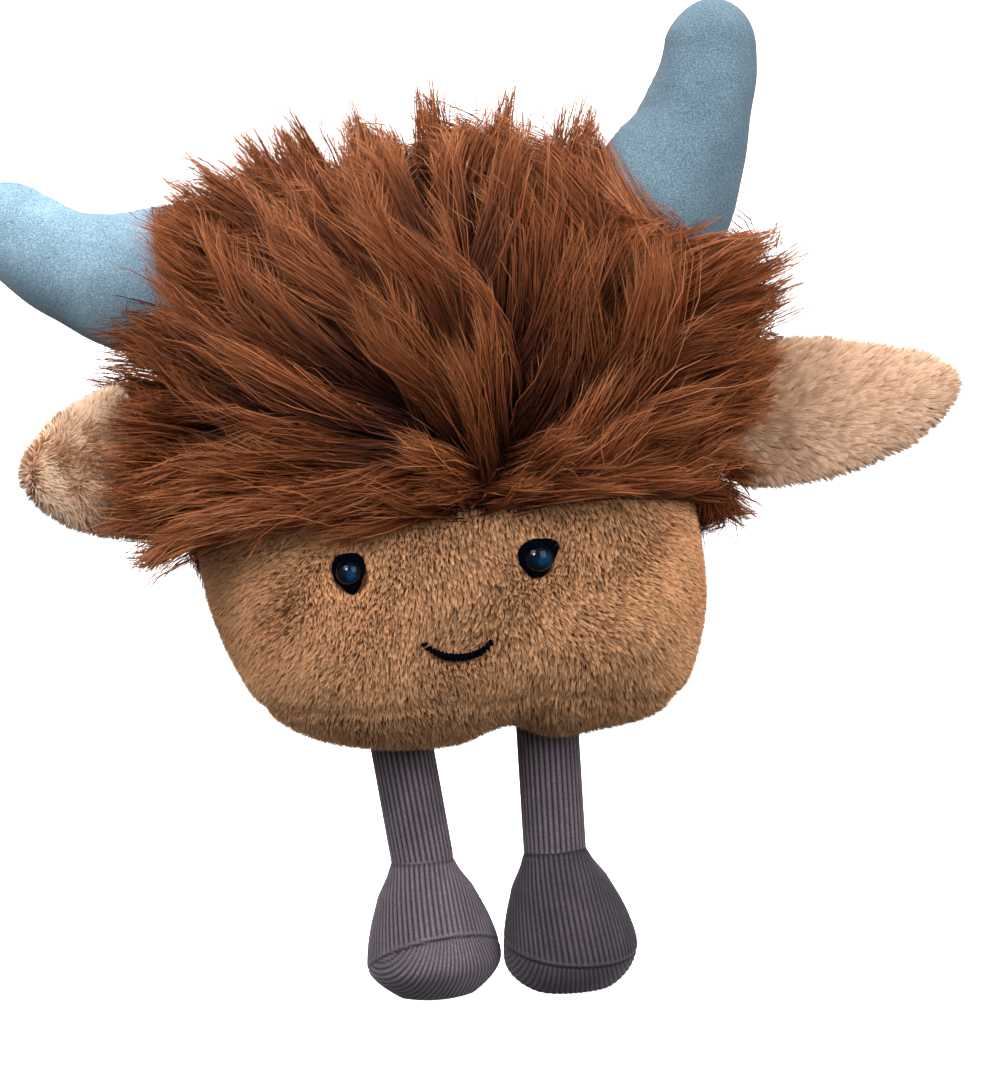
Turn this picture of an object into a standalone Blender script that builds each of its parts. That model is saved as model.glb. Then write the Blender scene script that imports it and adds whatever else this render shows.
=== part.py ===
"""A stuffed highland cow: a pillow-shaped body with a mop of fur, horns, ears and two thin legs.

Metres, +Z up. The face looks along -Y, the soles stand on the plane Z = 0, and the toy's own
left side is +X. Every stuffed form is a unit sphere carried onto its own shape by a formula,
cut along its seams, and given its cloth as a wall.
"""
import math

import bmesh
import bpy
from mathutils import Matrix, Vector
from mathutils.bvhtree import BVHTree

# Cloth, thread and clearances
PLUSH_CLOTH = 0.0016
SUEDE_CLOTH = 0.0009
CORD_CLOTH = 0.0010
SEAM_GAP = 0.0003
THREAD_RADIUS = 0.0007
CUTTER_OVERRUN = 0.010

# Feet
FOOT_HEIGHT = 0.0400
FOOT_WIDTH = 0.0378
FOOT_LENGTH = 0.0440
FOOT_TOE_REACH = 0.0030
FOOT_FLAT_CUT = 0.0015
SOLE_SEAM_HEIGHT = 0.0088
SOLE_SEAM_RISE_DEG = 6.0

# Legs, from the ankle's turning point up to the hip's
LEG_DIAMETER = 0.0176
LEG_LENGTH = 0.0210
LEFT_HIP_X = 0.0228
RIGHT_HIP_X = -0.0171
LEFT_ANKLE_X = 0.0224
RIGHT_ANKLE_X = -0.0149
LEFT_SOLE_X = 0.0251
RIGHT_SOLE_X = -0.0132
LEG_Y = 0.0000
NECK_DROP = 0.0036
HIP_COVER_RISE = 0.0083
ANKLE_COVER_DROP = 0.0050

# Body, measured from its own underside
BODY_MIDDLE_X = -0.0088
BODY_WIDTH = 0.1400
BODY_DEPTH = 0.1040
BODY_HEIGHT = 0.1570
BODY_WAIST_RISE = 0.0510
BELLY_CREASE_X = 0.0115
BELLY_CREASE_DEPTH = 0.0050
BELLY_CREASE_WIDTH = 0.0090
BASE_SEAM_RISE = 0.0130
FUR_SEAM_RISE = 0.0670

# Fur crown: how far its pile stands off the body's sides, front and top, and its own heights
FUR_SIDE_PILE = 0.0205
FUR_FRONT_PILE = 0.0130
FUR_TOP_PILE = 0.0165
FUR_WIDTH = BODY_WIDTH + 2 * FUR_SIDE_PILE
FUR_DEPTH = BODY_DEPTH + 2 * FUR_FRONT_PILE
FUR_MIDDLE_RISE = 0.0960
FUR_TOP_RISE = BODY_HEIGHT + FUR_TOP_PILE
FUR_SKIRT_DEPTH = 0.0720
FUR_PARTING_X = 0.0165
FUR_PARTING_RISE = 0.0741
FUR_LOBE_RISE = 0.1230
FUR_LOBE_SWELL = 0.0110
LOCK_RELIEF = 0.0080

# Eyes and mouth
EYE_DIAMETER = 0.0070
EYE_DOME = 0.0028
EYE_SHANK_DIAMETER = 0.0030
EYE_SHANK_LENGTH = 0.0090
EYE_SPACING = 0.0492
FACE_MIDDLE_X = -0.0015
EYE_RISE = 0.0509
EYE_OUTLINE_WIDTH = 0.0092
EYE_OUTLINE_HEIGHT = 0.0106
WASHER_DIAMETER = 0.0100
WASHER_THICKNESS = 0.0014
MOUTH_MIDDLE_X = 0.0005
MOUTH_RISE = 0.0288
MOUTH_WIDTH = 0.0174
MOUTH_DEPTH = 0.0045

# Horns
HORN_LENGTH = 0.0820
HORN_WIDTH = 0.0443
HORN_DEPTH = 0.0380
HORN_ROOT_BALL = 0.0180
LEFT_HORN_INSET = 0.0227
RIGHT_HORN_INSET = 0.0158
LEFT_HORN_X = BODY_WIDTH / 2 - LEFT_HORN_INSET
RIGHT_HORN_X = RIGHT_HORN_INSET - BODY_WIDTH / 2
LEFT_HORN_START_DEG = 45.0
LEFT_HORN_END_DEG = 91.0
RIGHT_HORN_START_DEG = 185.0
RIGHT_HORN_END_DEG = 120.0
HORN_SEAT_GAP = 0.0006
HORN_CLEARANCE = 0.0026

# Ears
EAR_LENGTH = 0.0800
EAR_WIDTH = 0.0440
EAR_THICKNESS = 0.0072
EAR_ROOT_BALL = 0.0036
EAR_RISE = 0.0853
EAR_Y = 0.0000
LEFT_EAR_TIP_LIFT = 0.0050
RIGHT_EAR_TIP_LIFT = -0.0040
LEFT_EAR_FORWARD_DEG = 4.0
RIGHT_EAR_FORWARD_DEG = 58.0
EAR_OPENING_RADIUS = 0.0410
EAR_OPENING_HEIGHT = 0.0500

# Shares of the sizes above, chosen by hand: stations run from the root, or top, to the far end
BODY_PLAN_POWER_SHARE = 2.6
BODY_LOWER_POWER_SHARE = 2.8
BODY_UPPER_POWER_SHARE = 2.2
FUR_PLAN_POWER_SHARE = 2.3
FUR_UPPER_POWER_SHARE = 2.6
LOCK_ROOT_SHARE = 0.35
FUR_LOBE_SPREAD_SHARE = 0.045
SPINE_STEP_SHARE = 0.001
EYE_DROOP_SHARE = 0.12
MOUTH_CURL_SHARE = 0.9
HORN_STATION_SHARES = (0.0, 0.18, 0.36, 0.58, 0.78, 1.0)
HORN_WIDTH_SHARES = (0.98, 1.00, 0.90, 0.70, 0.60, 0.52)
HORN_BEND_POWER_SHARE = 1.33
HORN_TIP_SHARE = 0.16
EAR_STATION_SHARES = (0.0, 0.06, 0.22, 0.50, 0.76, 0.92, 1.0)
EAR_WIDTH_SHARES = (0.40, 0.56, 0.98, 0.96, 0.76, 0.52, 0.40)
EAR_THICKNESS_SHARES = (0.95, 1.0, 1.0, 1.0, 0.95, 0.85, 0.8)
EAR_TIP_SHARE = 0.14
FOOT_STATION_SHARES = (0.0, 0.06, 0.24, 0.48, 0.70, 0.86, 1.0)
FOOT_WIDTH_SHARES = (0.49, 0.49, 0.71, 0.91, 1.00, 0.98, 0.94)
LEG_STATION_SHARES = (0.0, 0.5, 1.0)
FOOT_TOP_SHARE = 0.03
FOOT_CROWN_SHARE = 0.36
FOOT_CROWN_POWER_SHARE = 2.4

# Counts and facets
HORN_BEND_STEPS = 40
LOCKS_AROUND = 12
LOCK_LAYERS = 4
EYE_OUTLINE_POINTS = 16
MOUTH_POINTS = 13
DOME_STEPS = 6
BODY_SEGMENTS = 32
BODY_RINGS = 18
FUR_SEGMENTS = 48
FUR_RINGS = 22
HORN_FACETS = (14, 11)
EAR_FACETS = (14, 10)
LEG_FACETS = (14, 8)
FOOT_FACETS = (14, 15)
OPENING_SEGMENTS = 20
TURNED_STEPS = 16

# Colours of the cloths
PLUSH = (0.38, 0.19, 0.085)
EAR_PLUSH = (0.50, 0.30, 0.165)
FUR = (0.17, 0.055, 0.022)
SUEDE = (0.22, 0.38, 0.52)
CORD = (0.105, 0.085, 0.105)
FILL = (0.80, 0.79, 0.76)
NAVY = (0.008, 0.014, 0.035)

TOY_NAME = "plush_highland_cow"
FRONT = Vector((0, -1, 0))
UP = Vector((0, 0, 1))

# Places that follow from the sizes
ANKLE_Z = FOOT_HEIGHT
HIP_Z = ANKLE_Z + LEG_LENGTH
BODY_BOTTOM_Z = HIP_Z + LEG_DIAMETER / 2 + SEAM_GAP
BODY_WAIST_Z = BODY_BOTTOM_Z + BODY_WAIST_RISE
BASE_SEAM_Z = BODY_BOTTOM_Z + BASE_SEAM_RISE
FUR_SEAM_Z = BODY_BOTTOM_Z + FUR_SEAM_RISE


def clear_scene():
    """Take away whatever the file holds."""
    for item in list(bpy.data.objects):
        bpy.data.objects.remove(item)
    for group in list(bpy.data.collections):
        bpy.data.collections.remove(group)


def new_collection(name):
    group = bpy.data.collections.new(name)
    bpy.context.scene.collection.children.link(group)
    return group


def finish(name, colour, roughness, metallic=0.0):
    """A plain Principled material."""
    made = bpy.data.materials.new(name)
    made.use_nodes = True
    shader = made.node_tree.nodes["Principled BSDF"]
    shader.inputs["Base Color"].default_value = (*colour, 1.0)
    shader.inputs["Roughness"].default_value = roughness
    shader.inputs["Metallic"].default_value = metallic
    return made


clear_scene()
TOY = new_collection(TOY_NAME)
CUTTERS = new_collection("cutters")


def signed_power(value, power):
    return math.copysign(abs(value) ** power, value)


def smooth_value(stations, values, share):
    """Read a table between its stations with an easy curve through its values."""
    last = len(stations) - 1
    step = 0
    while step < last - 1 and share > stations[step + 1]:
        step += 1
    span = stations[step + 1] - stations[step]
    t = min(max((share - stations[step]) / span, 0.0), 1.0)
    before = values[max(step - 1, 0)]
    start, end = values[step], values[step + 1]
    after = values[min(step + 2, last)]
    bend = (2 * start + (end - before) * t + (2 * before - 5 * start + 4 * end - after) * t * t
            + (3 * start - before - 3 * end + after) * t * t * t)
    return bend / 2


def rounded_end(share, cap, power=2.0):
    """How full a form is near its end: nothing at the end itself, whole one cap away from it."""
    depth = min(share / cap, 1.0)
    return (1 - (1 - depth) ** power) ** (1 / power)


def form(segments, rings, shape, inset=0.0):
    """A unit sphere carried onto a shape, its skin moved in by an inset along its normals.

    The sphere is turned by half a facet first, so that a seam runs down the middle of a facet
    and the walls on its two sides stay parallel.
    """
    bm = bmesh.new()
    half_facet = Matrix.Rotation(math.pi / segments, 4, "Z")
    bmesh.ops.create_uvsphere(
        bm, u_segments=segments, v_segments=rings, radius=1, matrix=half_facet)
    for vert in bm.verts:
        vert.co = shape(vert.co.copy())
    bm.normal_update()
    bmesh.ops.recalc_face_normals(bm, faces=bm.faces)
    bm.normal_update()
    if inset:
        moved = [vert.co - vert.normal * inset for vert in bm.verts]
        for vert, place in zip(bm.verts, moved):
            vert.co = place
    return bm


def trim(bm, point, outward, close):
    """Cut away what lies beyond a plane, and close the cut where a solid is wanted."""
    everything = bm.verts[:] + bm.edges[:] + bm.faces[:]
    cut = bmesh.ops.bisect_plane(
        bm, geom=everything, dist=SEAM_GAP / 1000, plane_co=point, plane_no=outward, clear_outer=True)
    if close:
        rim = [item for item in cut["geom_cut"] if isinstance(item, bmesh.types.BMEdge)]
        bmesh.ops.edgeloop_fill(bm, edges=rim)
        bmesh.ops.recalc_face_normals(bm, faces=bm.faces)


def add_object(name, bm, group, material=None):
    mesh = bpy.data.meshes.new(name)
    bm.to_mesh(mesh)
    bm.free()
    mesh.shade_smooth()
    made = bpy.data.objects.new(name, mesh)
    group.objects.link(made)
    if material:
        mesh.materials.append(material)
    else:
        made.hide_render = True
        made.display_type = "WIRE"
    return made


def give_wall(piece, cloth):
    """Turn an open skin into cloth: the skin is the outer side and the wall goes inwards."""
    wall = piece.modifiers.new("cloth", "SOLIDIFY")
    wall.thickness = cloth
    wall.offset = -1
    wall.use_quality_normals = True


def cut_with(piece, cutter):
    cut = piece.modifiers.new("cut_" + cutter.name, "BOOLEAN")
    cut.operation = "DIFFERENCE"
    cut.solver = "EXACT"
    cut.object = cutter


def seam_block(name, seam, outward, reach):
    """A cutter with one side on a seam, half the gap inside it, and the rest beyond."""
    middle = seam + outward * (reach - SEAM_GAP / 2)
    block = bmesh.new()
    facing = UP.rotation_difference(outward).to_matrix().to_4x4()
    bmesh.ops.create_cube(block, size=2 * reach, matrix=Matrix.Translation(middle) @ facing)
    return add_object(name, block, CUTTERS)


def open_pile(fur_half, opening):
    """Clear the pile round a limb's root, down to the crown's backing, which stays whole."""
    cut_with(opening, SKIN_GUARD)
    cut_with(fur_half, opening)


def body_shape(unit):
    """A pillow: superellipses in plan and in height, lower half boxier, with a belly crease."""
    ring = math.hypot(unit.x, unit.y)
    upper = unit.z > 0
    power = BODY_UPPER_POWER_SHARE if upper else BODY_LOWER_POWER_SHARE
    reach = BODY_HEIGHT - BODY_WAIST_RISE if upper else BODY_WAIST_RISE
    wide = ring ** (2 / power)
    turn = 1 / ring if ring > 0 else 0
    x = signed_power(unit.x * turn, 2 / BODY_PLAN_POWER_SHARE) * wide * BODY_WIDTH / 2
    y = signed_power(unit.y * turn, 2 / BODY_PLAN_POWER_SHARE) * wide * BODY_DEPTH / 2
    z = signed_power(unit.z, 2 / power) * reach
    away = (x - BELLY_CREASE_X) / BELLY_CREASE_WIDTH
    z += BELLY_CREASE_DEPTH * math.exp(-away * away) * max(-unit.z, 0) ** 3
    return Vector((BODY_MIDDLE_X + x, y, BODY_WAIST_Z + z))


def body_form(inset=0.0):
    return form(BODY_SEGMENTS, BODY_RINGS, body_shape, inset)


BODY_SURFACE = BVHTree.FromBMesh(body_form())


def surface_hit(start, aim):
    """Where a straight line from outside meets the body's skin, and the skin's normal there."""
    place, normal, _, _ = BODY_SURFACE.ray_cast(start, aim)
    return place, normal


def fur_shape(unit):
    """A dome of locks that all run away from the parting above the forehead.

    The sphere's pole is turned to the parting, so its meridians are the run of the fur. Each
    lock swells along its length and ends in a step, and the next layer's locks are staggered. A
    lobe of fur swells out beside the left horn.
    """
    middle_z = BODY_BOTTOM_Z + FUR_MIDDLE_RISE
    parting = Vector((FUR_PARTING_X, -FUR_DEPTH / 2, FUR_PARTING_RISE - FUR_MIDDLE_RISE)).normalized()
    lobe = Vector((FUR_WIDTH / 2, 0, FUR_LOBE_RISE - FUR_MIDDLE_RISE)).normalized()
    aim = UP.rotation_difference(parting) @ unit
    upper = aim.z > 0
    reach = FUR_TOP_RISE - FUR_MIDDLE_RISE if upper else FUR_SKIRT_DEPTH
    power = FUR_UPPER_POWER_SHARE if upper else FUR_PLAN_POWER_SHARE
    flat = ((abs(aim.x) / (FUR_WIDTH / 2)) ** FUR_PLAN_POWER_SHARE
            + (abs(aim.y) / (FUR_DEPTH / 2)) ** FUR_PLAN_POWER_SHARE) ** (power / FUR_PLAN_POWER_SHARE)
    radius = (flat + (abs(aim.z) / reach) ** power) ** (-1 / power)
    along = math.acos(max(-1.0, min(1.0, unit.z))) / math.pi * LOCK_LAYERS
    layer = math.floor(along)
    swell = along - layer
    around = math.atan2(unit.y, unit.x) * LOCKS_AROUND + layer * math.pi
    ridge = (1 + math.cos(around)) / 2
    lock = ridge * (LOCK_ROOT_SHARE + (1 - LOCK_ROOT_SHARE) * swell) * min(along, 1.0)
    radius += LOCK_RELIEF * (lock - LOCK_ROOT_SHARE)
    radius += FUR_LOBE_SWELL * math.exp((aim.dot(lobe) - 1) / FUR_LOBE_SPREAD_SHARE)
    return Vector((BODY_MIDDLE_X, 0, middle_z)) + aim * radius


def limb_form(facets, spine, stations, widths, depths, depth_axis, caps, inset=0.0):
    """A stuffed limb along a spine, from share 0 at its root to share 1 at its far end."""
    root_cap, far_cap, far_power = caps

    def shape(unit):
        share = (1 - unit.z) / 2
        ring = math.hypot(unit.x, unit.y)
        turn = 1 / ring if ring > 0 else 0
        full = rounded_end(share, root_cap) * rounded_end(1 - share, far_cap, far_power)
        before, after = max(share - SPINE_STEP_SHARE, 0.0), min(share + SPINE_STEP_SHARE, 1.0)
        ahead = spine(after) - spine(before)
        side = depth_axis.cross(ahead.normalized())
        width = smooth_value(stations, widths, share) * full / 2
        depth = smooth_value(stations, depths, share) * full / 2
        return spine(share) + side * (unit.x * turn * width) + depth_axis * (unit.y * turn * depth)

    return form(*facets, shape, inset)


def pivot(name, place, parent=None):
    """An empty on a joint's axis, which the pieces of a moving limb hang from."""
    made = bpy.data.objects.new(name, None)
    made.empty_display_size = LEG_DIAMETER
    TOY.objects.link(made)
    made.matrix_world = Matrix.Translation(place)
    if parent:
        hang(made, parent)
    return made


def hang(piece, parent):
    bpy.context.view_layer.update()
    piece.parent = parent
    piece.matrix_parent_inverse = parent.matrix_world.inverted()


def make_body():
    """Fill, three plush panels and the two halves of the fur crown."""
    plush = finish("caramel_plush", PLUSH, 0.95)
    fill = finish("fibre_fill", FILL, 1.0)
    fur = finish("chestnut_fur", FUR, 0.8)

    stuffing = add_object("body_stuffing", body_form(PLUSH_CLOTH + SEAM_GAP), TOY, fill)
    half_gap = SEAM_GAP / 2
    fur_seam = Vector((0, 0, FUR_SEAM_Z))
    base_seam = Vector((0, 0, BASE_SEAM_Z))
    panels = {}
    for name, outward in (("face_panel", Vector((0, 1, 0))), ("back_panel", Vector((0, -1, 0)))):
        skin = body_form()
        trim(skin, fur_seam - UP * half_gap, UP, close=False)
        trim(skin, base_seam + UP * half_gap, -UP, close=False)
        trim(skin, outward * -half_gap, outward, close=False)
        panels[name] = add_object(name, skin, TOY, plush)
        give_wall(panels[name], PLUSH_CLOTH)
    skin = body_form()
    trim(skin, base_seam - UP * half_gap, UP, close=False)
    panels["base_panel"] = add_object("base_panel", skin, TOY, plush)
    give_wall(panels["base_panel"], PLUSH_CLOTH)

    scalp = add_object("scalp_cutter", body_form(PLUSH_CLOTH), CUTTERS)
    for side, name in ((1, "fur_cap_left"), (-1, "fur_cap_right")):
        crown = form(FUR_SEGMENTS, FUR_RINGS, fur_shape)
        trim(crown, fur_seam + UP * half_gap, -UP, close=True)
        middle = Vector((BODY_MIDDLE_X + side * half_gap, 0, 0))
        trim(crown, middle, Vector((-side, 0, 0)), close=True)
        panels[name] = add_object(name, crown, TOY, fur)
        cut_with(panels[name], scalp)
    return stuffing, panels


def turned(name, profile, material, group=TOY, ring=False):
    """A turned piece: a profile of (radius, height) pairs swung round the Z axis."""
    mesh = bpy.data.meshes.new(name)
    points = [(radius, 0, height) for radius, height in profile]
    edges = [(i, i + 1) for i in range(len(points) - 1)]
    if ring:
        edges.append((len(points) - 1, 0))
    mesh.from_pydata(points, edges, [])
    made = bpy.data.objects.new(name, mesh)
    group.objects.link(made)
    swing = made.modifiers.new("turn", "SCREW")
    swing.steps = TURNED_STEPS
    swing.render_steps = TURNED_STEPS
    swing.use_merge_vertices = True
    swing.merge_threshold = SEAM_GAP / 30
    if material:
        mesh.materials.append(material)
    else:
        made.hide_render = True
        made.display_type = "WIRE"
    return made


def dome_profile(radius, height, foot):
    """A quarter of an ellipse from the top centre down to the rim at a foot height."""
    turns = [math.pi / 2 * i / DOME_STEPS for i in range(DOME_STEPS + 1)]
    return [(radius * math.sin(a), foot + height * math.cos(a)) for a in turns]


def make_eye(side, stuffing, face):
    """A bead on a shank through the face, its lock washer inside and thread stitched round it."""
    navy = finish(side + "_eye_navy", NAVY, 0.08)
    washer_finish = finish(side + "_washer", FILL, 0.5)
    thread = finish(side + "_eye_thread", NAVY, 0.6)
    sign = 1 if side == "left" else -1
    x = BODY_MIDDLE_X + FACE_MIDDLE_X + sign * EYE_SPACING / 2
    place, normal = surface_hit(Vector((x, -BODY_DEPTH, BODY_BOTTOM_Z + EYE_RISE)), -FRONT)
    stand = Matrix.Translation(place) @ UP.rotation_difference(normal).to_matrix().to_4x4()

    shank = EYE_SHANK_DIAMETER / 2
    bead_foot = SEAM_GAP
    profile = dome_profile(EYE_DIAMETER / 2, EYE_DOME, bead_foot)
    profile += [(shank, bead_foot), (shank, -EYE_SHANK_LENGTH), (0, -EYE_SHANK_LENGTH)]
    bead = turned(side + "_eye_bead", profile, navy)
    bead.matrix_world = stand

    hole = shank + SEAM_GAP
    washer_top = -EYE_SHANK_LENGTH / 2
    washer_rim = WASHER_DIAMETER / 2
    washer_foot = washer_top - WASHER_THICKNESS
    washer = turned(
        side + "_eye_washer",
        [(hole, washer_top), (washer_rim, washer_top), (washer_rim, washer_foot), (hole, washer_foot)],
        washer_finish, ring=True)
    washer.matrix_world = stand

    pocket_top = washer_top + SEAM_GAP
    pocket_foot = washer_foot - SEAM_GAP
    pocket_rim = washer_rim + SEAM_GAP
    pocket = turned(
        side + "_eye_pocket",
        [(0, CUTTER_OVERRUN), (hole, CUTTER_OVERRUN), (hole, pocket_top), (pocket_rim, pocket_top),
         (pocket_rim, pocket_foot), (hole, pocket_foot), (hole, -EYE_SHANK_LENGTH - SEAM_GAP),
         (0, -EYE_SHANK_LENGTH - SEAM_GAP)],
        None, CUTTERS)
    pocket.matrix_world = stand
    cut_with(face, pocket)
    cut_with(stuffing, pocket)

    points = []
    for i in range(EYE_OUTLINE_POINTS):
        turn = 2 * math.pi * i / EYE_OUTLINE_POINTS
        droop = 1 - EYE_DROOP_SHARE * math.cos(turn)
        points.append(Vector((
            EYE_OUTLINE_WIDTH / 2 * math.sin(turn) * droop,
            0,
            EYE_OUTLINE_HEIGHT / 2 * -math.cos(turn))))
    points = [lay_on_face(place + point, THREAD_RADIUS) for point in points]
    thread_line(side + "_eye_stitching", points, thread, cyclic=True)


def lay_on_face(point, radius):
    """Carry a point of a thread's route onto the face, its own radius and a gap clear of it."""
    start = Vector((point.x, -BODY_DEPTH, point.z))
    place, normal = surface_hit(start, -FRONT)
    return place + normal * (radius + SEAM_GAP)


def thread_line(name, points, material, cyclic=False):
    """A stitched line as a tube along its route."""
    curve = bpy.data.curves.new(name, "CURVE")
    curve.dimensions = "3D"
    curve.bevel_depth = THREAD_RADIUS
    curve.bevel_resolution = 1
    curve.use_fill_caps = not cyclic
    line = curve.splines.new("POLY")
    line.points.add(len(points) - 1)
    for knot, point in zip(line.points, points):
        knot.co = (*point, 1)
    line.use_cyclic_u = cyclic
    curve.materials.append(material)
    made = bpy.data.objects.new(name, curve)
    TOY.objects.link(made)
    return made


def make_mouth():
    """The smile is one shallow arc."""
    thread = finish("mouth_thread", NAVY, 0.6)
    points = []
    for i in range(MOUTH_POINTS):
        across = 2 * i / (MOUTH_POINTS - 1) - 1
        x = BODY_MIDDLE_X + MOUTH_MIDDLE_X + across * MOUTH_WIDTH / 2
        sag = math.sqrt(1 - MOUTH_CURL_SHARE * across * across)
        z = BODY_BOTTOM_Z + MOUTH_RISE + MOUTH_DEPTH / 2 - MOUTH_DEPTH * sag
        points.append(lay_on_face(Vector((x, 0, z)), THREAD_RADIUS))
    thread_line("mouth_stitching", points, thread)


def horn_spine(root, start_deg, end_deg):
    """A bend in the plane of the face, tighter towards the tip, summed in short straight steps."""
    points = [root]
    for i in range(HORN_BEND_STEPS):
        share = (i + 1 / 2) / HORN_BEND_STEPS
        angle = math.radians(start_deg + (end_deg - start_deg) * share ** HORN_BEND_POWER_SHARE)
        ahead = Vector((math.cos(angle), 0, math.sin(angle)))
        points.append(points[-1] + ahead * (HORN_LENGTH / HORN_BEND_STEPS))

    def spine(share):
        along = min(max(share, 0.0), 1.0) * HORN_BEND_STEPS
        step = min(int(along), HORN_BEND_STEPS - 1)
        return points[step].lerp(points[step + 1], along - step)

    return spine


def make_horn(side, fur_half):
    """A bent suede horn in two halves round its fill, on a rounded root that rests on the body."""
    suede = finish(side + "_horn_suede", SUEDE, 0.9)
    fill = finish(side + "_horn_fill", FILL, 1.0)
    left = side == "left"
    x = BODY_MIDDLE_X + (LEFT_HORN_X if left else RIGHT_HORN_X)
    start_deg = LEFT_HORN_START_DEG if left else RIGHT_HORN_START_DEG
    end_deg = LEFT_HORN_END_DEG if left else RIGHT_HORN_END_DEG
    seat, normal = surface_hit(Vector((x, 0, BODY_BOTTOM_Z + 2 * BODY_HEIGHT)), -UP)
    normal.y = 0
    normal.normalize()
    start = Vector((math.cos(math.radians(start_deg)), 0, math.sin(math.radians(start_deg))))
    lean = start.dot(normal)
    half_root = HORN_WIDTH * HORN_WIDTH_SHARES[0] / 2
    rest = math.sqrt((HORN_ROOT_BALL * lean) ** 2 + half_root ** 2 * (1 - lean * lean))
    turning_point = seat + normal * (rest + HORN_SEAT_GAP)
    spine = horn_spine(turning_point - start * HORN_ROOT_BALL, start_deg, end_deg)
    widths = [HORN_WIDTH * share for share in HORN_WIDTH_SHARES]
    depths = [HORN_DEPTH * share for share in HORN_WIDTH_SHARES]
    caps = (HORN_ROOT_BALL / HORN_LENGTH, HORN_TIP_SHARE, 2.0)
    shape = (HORN_FACETS, spine, HORN_STATION_SHARES, widths, depths, FRONT, caps)

    hinge = pivot(side + "_horn_pivot", turning_point)
    stuffing = add_object(
        side + "_horn_stuffing", limb_form(*shape, inset=SUEDE_CLOTH + SEAM_GAP), TOY, fill)
    hang(stuffing, hinge)
    for end, outward in (("front", Vector((0, 1, 0))), ("back", Vector((0, -1, 0)))):
        cover = add_object(side + "_horn_" + end, limb_form(*shape), TOY, suede)
        give_wall(cover, SUEDE_CLOTH)
        cut_with(cover, seam_block(cover.name + "_seam", turning_point, outward, HORN_LENGTH))
        hang(cover, hinge)
    open_pile(fur_half, add_object(
        side + "_horn_hole", limb_form(*shape, inset=-HORN_CLEARANCE), CUTTERS))


def make_ear(side, fur_half):
    """Two flat panels sewn edge to edge, hinged on the line where their root is sewn on."""
    plush = finish(side + "_ear_plush", EAR_PLUSH, 0.95)
    back_plush = finish(side + "_ear_back_plush", PLUSH, 0.95)
    left = side == "left"
    sign = 1 if left else -1
    forward = math.radians(LEFT_EAR_FORWARD_DEG if left else RIGHT_EAR_FORWARD_DEG)
    tip_lift = LEFT_EAR_TIP_LIFT if left else RIGHT_EAR_TIP_LIFT
    outside = Vector((BODY_MIDDLE_X + sign * BODY_WIDTH, EAR_Y, BODY_BOTTOM_Z + EAR_RISE))
    seat, _ = surface_hit(outside, Vector((-sign, 0, 0)))
    turning_point = seat + Vector((sign * (EAR_ROOT_BALL + SEAM_GAP), 0, 0))
    ahead = Vector((sign * math.cos(forward), -math.sin(forward), 0))
    face_side = ahead.cross(UP) * sign
    root = turning_point - ahead * EAR_ROOT_BALL

    def spine(share):
        return root + ahead * (EAR_LENGTH * share) + UP * (tip_lift * share ** 3)

    widths = [EAR_WIDTH * share for share in EAR_WIDTH_SHARES]
    depths = [EAR_THICKNESS * share for share in EAR_THICKNESS_SHARES]
    caps = (EAR_ROOT_BALL / EAR_LENGTH, EAR_TIP_SHARE, 2.0)
    hinge = pivot(side + "_ear_pivot", turning_point)
    for end, outward, colour in (("front", -face_side, plush), ("back", face_side, back_plush)):
        panel = limb_form(EAR_FACETS, spine, EAR_STATION_SHARES, widths, depths, face_side, caps)
        trim(panel, turning_point - outward * (SEAM_GAP / 2), outward, close=True)
        made = add_object(side + "_ear_" + end, panel, TOY, colour)
        hang(made, hinge)
    opening = bmesh.new()
    bmesh.ops.create_cone(
        opening, cap_ends=True, segments=OPENING_SEGMENTS, radius1=EAR_OPENING_RADIUS,
        radius2=EAR_OPENING_RADIUS, depth=EAR_OPENING_HEIGHT, matrix=Matrix.Translation(turning_point))
    open_pile(fur_half, add_object(side + "_ear_opening", opening, CUTTERS))


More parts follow.
